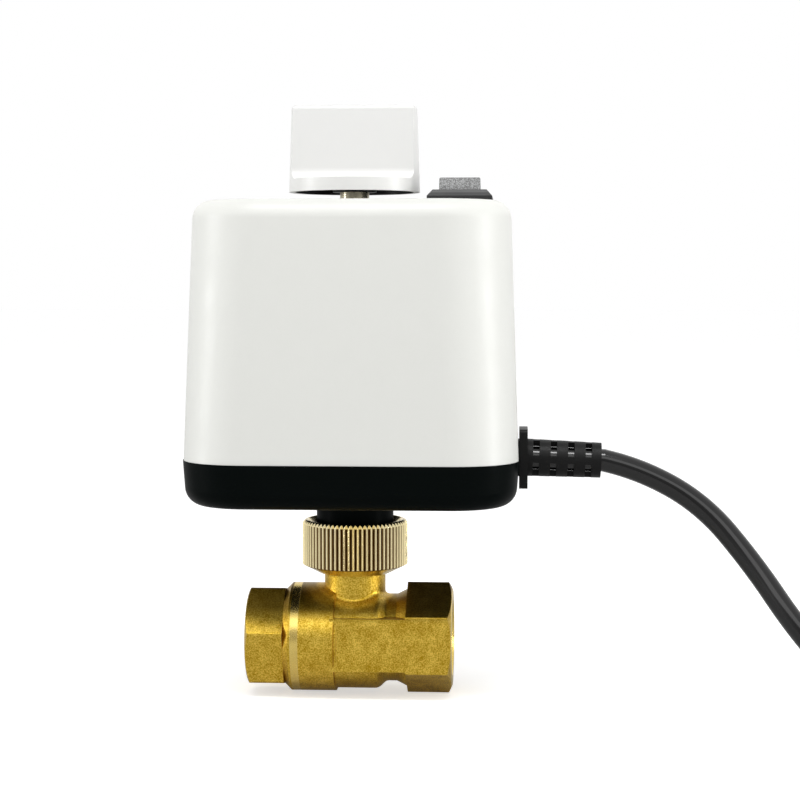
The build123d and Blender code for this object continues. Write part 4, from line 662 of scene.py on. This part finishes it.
# %% [markdown]
# The seats of the ball and its thrust washer are white and slippery, and the terminal
# block is white too. The cams are red, so that they can be told from the shaft, and the
# rings and the gasket are dull rubber.

# %% Seats, cams and rubber
SEAT_WHITE = (0.8, 0.8, 0.78)
CAM_RED = (0.45, 0.05, 0.03)
RUBBER_BLACK = (0.02, 0.02, 0.02)
FINE_MOULD = {"roughness": 0.5, "grain_size": 0.8, "grain_depth": 0.005}

seat_white = moulded("seat_white", SEAT_WHITE, **FINE_MOULD)
cam_red = moulded("cam_red", CAM_RED, **FINE_MOULD)
rubber_black = moulded(
    "rubber_black",
    RUBBER_BLACK,
    roughness=0.7,
    grain_size=0.4,
    grain_depth=0.01,
)
paint(seat_white, "inlet_seat", "outlet_seat", "thrust_washer", "terminal_block")
paint(cam_red, "open_cam", "shut_cam")
paint(rubber_black, "stem_rings", "gasket")
print("materials so far:", len(bpy.data.materials))

# %% [markdown]
# ## Shapes from a tree of nodes
#
# What repeats or winds can be made by hand, copy by copy, or by a Geometry Nodes tree
# with a few sizes. The tree is clearer, because its sizes have names. This class builds
# such a tree, gives it its sizes, and keeps the result as a plain mesh.

# %% A class for geometry trees


class Build(Graph):
    """A geometry tree with named sizes, in metres."""

    def __init__(self, name, sizes):
        super().__init__(bpy.data.node_groups.new(name, "GeometryNodeTree"))
        self.name = name
        self.sizes = sizes
        face = self.tree.interface
        face.new_socket("Geometry", in_out="OUTPUT", socket_type="NodeSocketGeometry")
        for size in sizes:
            face.new_socket(size, in_out="INPUT", socket_type="NodeSocketFloat")
        self.given = self.tree.nodes.new("NodeGroupInput")

    def size(self, name):
        return Wire(self, self.given.outputs[name])

    def place(self, x, y, z):
        return self.node("ShaderNodeCombineXYZ", {}, {0: x, 1: y, 2: z})

    def move(self, shape, place, turn=(0.0, 0.0, 0.0)):
        sockets = {"Geometry": shape, "Translation": place, "Rotation": turn}
        return self.node("GeometryNodeTransform", {}, sockets)

    def join(self, *shapes):
        return self.node("GeometryNodeJoinGeometry", {}, {"Geometry": list(shapes)})

    def keep(self, shape, finish, body, slot):
        """The piece that the tree makes, as a plain mesh that rides on a body."""
        whole = self.node("GeometryNodeRealizeInstances", {}, {"Geometry": shape})
        sockets = {"Geometry": whole, "Material": finish.material}
        painted = self.node("GeometryNodeSetMaterial", {}, sockets)
        result = self.tree.nodes.new("NodeGroupOutput")
        self.put(result.inputs["Geometry"], painted)
        piece = add(self.name, bpy.data.meshes.new(self.name))
        modifier = piece.modifiers.new(self.name, "NODES")
        modifier.node_group = self.tree
        for socket in self.tree.interface.items_tree:
            if socket.in_out == "INPUT":
                modifier[socket.identifier] = self.sizes[socket.name]
        made = piece.evaluated_get(bpy.context.evaluated_depsgraph_get())
        mesh = bpy.data.meshes.new_from_object(made)
        piece.modifiers.clear()
        piece.data = mesh
        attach(piece, body)
        print(self.name, "has", len(mesh.polygons), "faces")
        return piece


print("geometry trees can be built")

# %% [markdown]
# ## The threads in the ports
#
# A half inch pipe thread winds 14 times in an inch. Each port is a plain bore in the
# solid, as wide as the thread's crests. A ridge that winds round the bore stands a
# quarter of a millimetre out of its wall, enough to show and too little to close the
# port. It could be cut turn by turn, but one spiral with a slim four sided outline
# swept along it does it at once. Most of the outline is inside the wall.

# %% Wind the ridges
PORT_BORE_R = 9.315
THREAD_PITCH = 25.4 / 14
THREAD_DEPTH = 12.0
INLET_THREAD_X = 0.0
OUTLET_THREAD_X = 41.8
RIDGE_HALF_H = 0.44
RIDGE_HALF_W = 0.85
RIDGE_SINK = 0.2
POINTS_A_TURN = 64


def port_thread(name, start_x):
    """The ridge of one port, which winds towards the outlet from its start."""
    length = THREAD_DEPTH - 2 * RIDGE_HALF_W
    sizes = {
        "Radius": (PORT_BORE_R + RIDGE_SINK) * MM,
        "Length": length * MM,
        "Turns": length / THREAD_PITCH,
        "Height": 2 * RIDGE_HALF_H * MM,
        "Reach": RIDGE_HALF_W * MM,
    }
    build = Build(name, sizes)
    radius = build.size("Radius")
    sockets = {
        "Resolution": POINTS_A_TURN,
        "Rotations": build.size("Turns"),
        "Start Radius": radius,
        "End Radius": radius,
        "Height": build.size("Length"),
    }
    spiral = build.node("GeometryNodeCurveSpiral", {}, sockets)
    upright = build.node("GeometryNodeSetCurveNormal", {"mode": "Z_UP"}, {"Curve": spiral})
    reach = build.size("Reach")
    sockets = {"Width": build.size("Height"), "Bottom Height": reach, "Top Height": reach}
    outline = build.node("GeometryNodeCurvePrimitiveQuadrilateral", {"mode": "KITE"}, sockets)
    sockets = {"Curve": upright, "Profile Curve": outline, "Fill Caps": True}
    ridge = build.node("GeometryNodeCurveToMesh", {}, sockets)
    start = ((start_x + RIDGE_HALF_W) * MM, 0.0, 0.0)
    laid = build.move(ridge, start, (0.0, math.pi / 2, 0.0))
    return build.keep(laid, brass, "valve", "forged_brass")


inlet_thread = port_thread("inlet_thread", INLET_THREAD_X)
outlet_thread = port_thread("outlet_thread", OUTLET_THREAD_X)
for thread in (inlet_thread, outlet_thread):
    least = min(vertex.co.yz.length for vertex in thread.data.vertices)
    print(thread.name, "leaves a hole of radius", round(least / MM, 3))

# %% [markdown]
# ## Cross recess screws
#
# Four screws hold the cover to the base from below, and one holds the knob on its
# shaft. A screw here is a head on a shank. The head is a short drum with a flattened
# cone on it, and a Boolean cuts the cross of the recess into the cone. One function
# writes this into a tree, so both kinds of screw are made alike.

# %% A screw in a geometry tree
DOME_TOP = 0.74
RECESS_LENGTH = 0.62
RECESS_WIDTH = 0.24
RECESS_DEPTH = 1.1
HEAD_SIDES = 48
SHANK_SIDES = 24


def screw_build(name, replaced, head_r, head_h, shank_r):
    """A tree with a screw's sizes. It is as long as the screw of the solid model."""
    low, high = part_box(replaced)
    sizes = {
        "Head radius": head_r * MM,
        "Head height": head_h * MM,
        "Shank radius": shank_r * MM,
        "Length": high.z - low.z - head_h * MM,
    }
    return Build(name, sizes)


def drum(build, sides, radius, depth, middle_z):
    """A cylinder with its middle at this height."""
    sockets = {"Vertices": sides, "Radius": radius, "Depth": depth}
    made = build.node("GeometryNodeMeshCylinder", {}, sockets)
    return build.move(made, build.place(0.0, 0.0, middle_z))


def screw(build):
    """A screw whose head stands up from the origin, with its shank below."""
    radius = build.size("Head radius")
    height = build.size("Head height")
    length = build.size("Length")
    sockets = {
        "Vertices": HEAD_SIDES,
        "Radius Top": radius * DOME_TOP,
        "Radius Bottom": radius,
        "Depth": height * 0.5,
    }
    cone = build.node("GeometryNodeMeshCone", {}, sockets)
    dome = build.move(cone, build.place(0.0, 0.0, height * 0.5))
    cross = []
    for turn in (0.0, math.pi / 2):
        width = radius * RECESS_WIDTH
        size = build.place(radius * 2 * RECESS_LENGTH, width, height * RECESS_DEPTH)
        arm = build.node("GeometryNodeMeshCube", {}, {"Size": size})
        cross.append(build.move(arm, build.place(0.0, 0.0, height), (0.0, 0.0, turn)))
    sockets = {"Mesh 1": dome, "Mesh 2": cross}
    cut = build.node("GeometryNodeMeshBoolean", {"operation": "DIFFERENCE"}, sockets)
    rim = drum(build, HEAD_SIDES, radius, height * 0.5, height * 0.25)
    shank = drum(build, SHANK_SIDES, build.size("Shank radius"), length, length * -0.5)
    return build.join(cut, rim, shank)


print("a recess is", RECESS_LENGTH, "of its head across")

# %% [markdown]
# The four screws of the cover are one screw set on the corners of a grid and turned
# head down. The knob's screw is set once, in the middle of the grip bar, and turns with
# the shaft.

# %% Set the screws in their places
COVER_SCREW_SPREAD_X = 66.0
COVER_SCREW_SPREAD_Y = 41.0
COVER_HEAD_R = 2.8
COVER_HEAD_H = 2.0
COVER_SHANK_R = 1.5
KNOB_HEAD_R = 3.0
KNOB_HEAD_H = 2.4
KNOB_SHANK_R = 1.4

heads_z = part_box("cover_screws")[0].z + COVER_HEAD_H * MM
build = screw_build(
    "cover_cross_screws", "cover_screws", COVER_HEAD_R, COVER_HEAD_H, COVER_SHANK_R
)
sockets = {
    "Size X": COVER_SCREW_SPREAD_X * MM,
    "Size Y": COVER_SCREW_SPREAD_Y * MM,
    "Vertices X": 2,
    "Vertices Y": 2,
}
corners = build.node("GeometryNodeMeshGrid", {}, sockets)
sockets = {"Points": corners, "Instance": screw(build)}
four = build.node("GeometryNodeInstanceOnPoints", {}, sockets)
seated = build.move(four, (STEM_X * MM, 0.0, heads_z), (math.pi, 0.0, 0.0))
cover_screws = build.keep(seated, steel, "valve", "steel")
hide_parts("cover_screws")

head_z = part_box("knob_screw")[1].z - KNOB_HEAD_H * MM
build = screw_build("knob_cross_screw", "knob_screw", KNOB_HEAD_R, KNOB_HEAD_H, KNOB_SHANK_R)
seated = build.move(screw(build), (STEM_X * MM, 0.0, head_z))
knob_screw = build.keep(seated, steel, "drive_shaft", "steel")
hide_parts("knob_screw")

# %% [markdown]
# ## The webs of the strain relief
#
# The slots of the strain relief don't reach its top and bottom lines: a narrow web
# joins the rings there, and only black shows through. Each web is a slice of the
# relief's wall, so it is lofted between two arcs, at the flange and at the end. Two
# plain blocks would be easier, but their corners would stand out of the round wall.

# %% The outline of a web
GLAND_Z = 50.2
RELIEF_FLANGE_X = 47.5
RELIEF_L = 20.0
RELIEF_START_R = 5.15
RELIEF_END_R = 4.8
RELIEF_DROOP = math.radians(2.0)
WEB_ARC = math.radians(18.0)
WEB_INNER_R = 3.4
WEB_INSET = 0.06
WEB_END_GAP = 0.1
WEB_STEPS = 6


def web_arc(side, along):
    """Points round one end of a web, out along the wall's outside and back inside."""
    outer = RELIEF_START_R + (RELIEF_END_R - RELIEF_START_R) * along / RELIEF_L - WEB_INSET
    turns = [WEB_ARC * (2 * step / WEB_STEPS - 1) for step in range(WEB_STEPS + 1)]
    ring = [(outer, turn) for turn in turns]
    ring += [(WEB_INNER_R, turn) for turn in reversed(turns)]
    points = []
    for reach, turn in ring:
        up = side * reach * math.cos(turn)
        x = RELIEF_FLANGE_X + along * math.cos(RELIEF_DROOP) + up * math.sin(RELIEF_DROOP)
        z = GLAND_Z - along * math.sin(RELIEF_DROOP) + up * math.cos(RELIEF_DROOP)
        points.append(at(x, reach * math.sin(turn), z))
    return points


print("points round the end of a web:", len(web_arc(1, 0.0)))

# %% Loft the two webs
shape = bmesh.new()
for side in (1, -1):
    first = [shape.verts.new(point) for point in web_arc(side, WEB_END_GAP)]
    last = [shape.verts.new(point) for point in web_arc(side, RELIEF_L - WEB_END_GAP)]
    shape.faces.new(first)
    shape.faces.new(last)
    for corner in range(len(first)):
        after = (corner + 1) % len(first)
        shape.faces.new((first[corner], first[after], last[after], last[corner]))
bmesh.ops.recalc_face_normals(shape, faces=shape.faces[:])
web_mesh = bpy.data.meshes.new("relief_webs")
shape.to_mesh(web_mesh)
shape.free()
web_mesh.materials.append(gland_black.material)
webs = add("relief_webs", web_mesh)
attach(webs, "valve")
print("faces of the webs:", len(web_mesh.polygons))

# %% [markdown]
# ## The cable
#
# The cable leaves the strain relief, droops, and runs down to the level that the valve
# stands on, clear of the pipe that goes into the outlet. Half a metre is what such a
# valve has, and the photograph shows the first few centimetres, so the rest is wound
# up beside the valve and held by a tie. The line is one smooth spline. Its control
# points are the corners of the route, and then the corners of a polygon round the coil,
# which a loop works out and lifts a little with each step.

# %% The route of the cable and the turns of its coil
CABLE_D = 6.2
CABLE_LIFT = 0.55
REST_Z = FLOOR_Z + CABLE_LIFT + CABLE_D / 2
EXIT_ALONG = 20.7
EXIT_X = RELIEF_FLANGE_X + EXIT_ALONG * math.cos(RELIEF_DROOP)
EXIT_Z = GLAND_Z - EXIT_ALONG * math.sin(RELIEF_DROOP)
EXIT = (EXIT_X, 0.0, EXIT_Z)
COIL_R = 24.0
COIL_PITCH = 7.4
COIL_TURNS = 2.5
COIL_X = 164.0
COIL_Y = -40.5
COIL_LEAD = 21.0
COIL_Z = REST_Z + COIL_LEAD * COIL_PITCH / (math.tau * COIL_R)
CORNERS_A_TURN = 18
ROUTE = [
    EXIT,
    (78.0, 0.0, 47.31),
    (95.4, -1.5, 37.7),
    (108.5, -7.0, 22.0),
    (118.5, -14.5, 7.0),
    (129.0, -18.0, -5.0),
    (COIL_X - COIL_LEAD, COIL_Y + COIL_R, REST_Z),
]


def coil_points():
    """Corners of a rising polygon, which the spline touches from inside."""
    points = []
    corner_r = COIL_R / math.cos(math.pi / CORNERS_A_TURN)
    for corner in range(round(COIL_TURNS * CORNERS_A_TURN)):
        share = (corner + 0.5) / CORNERS_A_TURN
        x = COIL_X + corner_r * math.sin(math.tau * share)
        y = COIL_Y + corner_r * math.cos(math.tau * share)
        points.append((x, y, COIL_Z + COIL_PITCH * share))
    points.append((COIL_X, COIL_Y - COIL_R, COIL_Z + COIL_PITCH * COIL_TURNS))
    return points


cable_points = ROUTE + coil_points()
print("control points of the cable:", len(cable_points))

# %% [markdown]
# A curve object turns the points into a round cable. A spline of order 3 is smooth and
# stays inside the corners of its points. The order is set after the points are there,
# because a spline of one point can't have it.

# %% Draw the cable
CABLE_BLACK = (0.0005, 0.0005, 0.0005)
SPLINE_STEPS = 10
ROUND_STEPS = 6


def smooth_line(name, points, thickness):
    """One open spline with these points as its control points."""
    curve = bpy.data.curves.new(name, "CURVE")
    curve.dimensions = "3D"
    spline = curve.splines.new("NURBS")
    spline.points.add(len(points) - 1)
    for point, place in zip(spline.points, points):
        point.co = (*at(*place), 1.0)
    spline.order_u = 3
    spline.use_endpoint_u = True
    spline.resolution_u = SPLINE_STEPS
    curve.bevel_depth = thickness / 2 * MM
    curve.bevel_resolution = ROUND_STEPS
    curve.use_fill_caps = True
    return add(name, curve)


cable = smooth_line("cable_line", cable_points, CABLE_D)
cable_black = moulded(
    "cable_black",
    CABLE_BLACK,
    roughness=0.12,
    grain_size=2.5,
    grain_depth=0.006,
    uneven=0.06,
)
cable.data.materials.append(cable_black.material)
paint(cable_black, "cable_entry")
print("the cable's first point is", cable_points[0])

# %% [markdown]
# Its end is stripped. Three cores come out, each with a tinned tip. A white tie holds
# the coil.

# %% The cores and the tie
CORE_COLOURS = {
    "core_brown": (0.16, 0.055, 0.025),
    "core_blue": (0.02, 0.12, 0.5),
    "core_black": (0.01, 0.01, 0.01),
}
LEAD_BLACK = (0.01, 0.01, 0.01)
TINNED_COPPER = (0.72, 0.66, 0.58)
TIE_WHITE = (0.75, 0.75, 0.72)
WIRE_MOULD = {"grain_size": 1.5, "grain_depth": 0.006}

for name, colour in CORE_COLOURS.items():
    paint(moulded(name, colour, roughness=0.3, **WIRE_MOULD), name)
lead_black = moulded("lead_black", LEAD_BLACK, roughness=0.35, **WIRE_MOULD)
tie_white = moulded("tie_white", TIE_WHITE, roughness=0.35, grain_size=1.0, grain_depth=0.01)
paint(lead_black, "lead_wires")
paint(drawn_steel("tinned_copper", TINNED_COPPER, roughness=0.3), "core_tips")
paint(tie_white, "cable_tie")
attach(cable, "valve")
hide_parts("cable", "cable_coil")
at(*EXIT)

# %% [markdown]
# ## The studio
#
# The photograph has a plain white ground and soft light from all round, brightest from
# above. The floor is a pale sheet that glows a little where the camera sees it, so that
# it ends in plain white and still keeps the soft shadow. In a reflection it is plain
# and slightly darker. A path of light knows what kind of ray it is, and the Light Path
# node tells the material.

# %% The floor
WHITE = (1.0, 1.0, 1.0)
FLOOR_GREY = (0.8, 0.8, 0.8)
FLOOR_REFLECTED = (0.6, 0.6, 0.6)
FLOOR_ROUGHNESS = 0.9
FLOOR_GLOW = 0.55
GLOW_REFLECTED = 0.1
FLOOR_REACH = 6.0
FLOOR_GAP = 0.02


def ray(graph, kind):
    """1 for rays of this kind and else 0."""
    return graph.node("ShaderNodeLightPath", {}, {}, "Is " + kind + " Ray")


def mirrored(graph):
    """1 for the rays of reflections and of clear pieces, and else 0."""
    return ray(graph, "Glossy").larger(ray(graph, "Transmission"))


def sheet(name, corners, finish):
    """A rectangle of the studio, from its four corners in metres."""
    mesh = bpy.data.meshes.new(name)
    mesh.from_pydata(corners, [], [(0, 1, 2, 3)])
    mesh.materials.append(finish.material)
    return add(name, mesh)


finish = Finish("floor_white", FLOOR_GREY, FLOOR_ROUGHNESS)
reflected = mirrored(finish)
glow = ray(finish, "Camera") * FLOOR_GLOW + reflected * FLOOR_GLOW * GLOW_REFLECTED
finish.set("Base Color", finish.mix(reflected, FLOOR_GREY, FLOOR_REFLECTED))
finish.set("Emission Color", WHITE)
finish.set("Emission Strength", glow)
quarters = ((-1, -1), (1, -1), (1, 1), (-1, 1))
low = (FLOOR_Z - FLOOR_GAP) * MM
floor = sheet("floor", [(x * FLOOR_REACH, y * FLOOR_REACH, low) for x, y in quarters], finish)
floor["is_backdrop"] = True
print("the floor is at", round(low / MM, 2), "mm")

# %% [markdown]
# A pale panel hangs above the camera. Only reflections show it. It gives the brass and
# the cable bright streaks, as the softbox of a photographer does, and lights nothing.

# %% The panel
PANEL_HALF_W = 0.8
PANEL_LOW = (-0.85, 0.42)
PANEL_HIGH = (-0.6, 0.68)
PANEL_GLOW = 2.2

finish = Finish("panel_white", (0.0, 0.0, 0.0), roughness=1.0, specular=0.0)
finish.set("Emission Color", WHITE)
finish.set("Emission Strength", PANEL_GLOW)
corners = [
    (-PANEL_HALF_W, *PANEL_LOW),
    (PANEL_HALF_W, *PANEL_LOW),
    (PANEL_HALF_W, *PANEL_HIGH),
    (-PANEL_HALF_W, *PANEL_HIGH),
]
panel = sheet("panel", corners, finish)
panel.visible_camera = False
panel.visible_diffuse = False
panel.visible_shadow = False
panel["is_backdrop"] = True
print("the panel's lower edge is", PANEL_LOW[1], "m up")

# %% [markdown]
# The world gives the even part of the light. It is white where the camera or a
# reflection sees it. Only the room behind the camera is dim in a reflection, as a
# photographer's is, and that gives black plastic and polished brass their depth. The
# world's own direction tells which part is behind the camera: y points into the scene.

# %% The world
WORLD_LIGHT = 0.5
ROOM_LIGHT = 0.45
ROOM_DARK_Y = -0.97
ROOM_BRIGHT_Y = -0.7

world = bpy.data.worlds.new("studio")
bpy.context.scene.world = world
world.use_nodes = True
sky = world.node_tree.nodes["Background"]
sky.inputs["Color"].default_value = (*WHITE, 1.0)
room = Graph(world.node_tree)
y_toward = room.split(room.node("ShaderNodeTexCoord", {}, {}, "Generated"))[1]
in_reflections = room.ramp(y_toward, ROOM_DARK_Y, ROOM_BRIGHT_Y, ROOM_LIGHT, 1.0)
reflected = mirrored(room)
seen = ray(room, "Camera")
even = 1 - reflected.larger(seen)
room.put(sky.inputs["Strength"], seen + reflected * in_reflections + even * WORLD_LIGHT)
print("the world's light is", WORLD_LIGHT)

# %% [markdown]
# A soft lamp above the camera gives the bright top edges and, with the panel, the
# streak along the cable. A tall one on each side lights the housing's rounded corners,
# and the right one is a little stronger, as in the photograph.

# %% The lamps
MIDDLE = at(0, 0, 70)
SIDE_LAMP = (0.12, 0.5)
TOP_LAMP = (0.5, 0.2)


def lamp(name, place, size, power):
    """A soft rectangular lamp that points at the middle of the valve."""
    light = bpy.data.lights.new(name, "AREA")
    light.shape = "RECTANGLE"
    light.size, light.size_y = size
    light.energy = power
    made = add(name, light)
    made.location = place
    made.rotation_euler = (MIDDLE - place).to_track_quat("-Z", "Y").to_euler()


lamp("lamp_left", at(-700, -130, 90), SIDE_LAMP, power=2.0)
lamp("lamp_right", at(700, -130, 90), SIDE_LAMP, power=2.8)
lamp("lamp_top", at(0, -300, 740), TOP_LAMP, power=3.6)
bpy.context.scene.view_settings.view_transform = "Standard"

# %% [markdown]
# ## Finish
#
# The sizes of the dressed object are printed, in millimetres.

# %% Write the sizes and finish
dressed_low, dressed_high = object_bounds()
across = [round((high - low) / MM, 1) for low, high in zip(dressed_low, dressed_high)]
print("the dressed object is, in millimetres:", across)
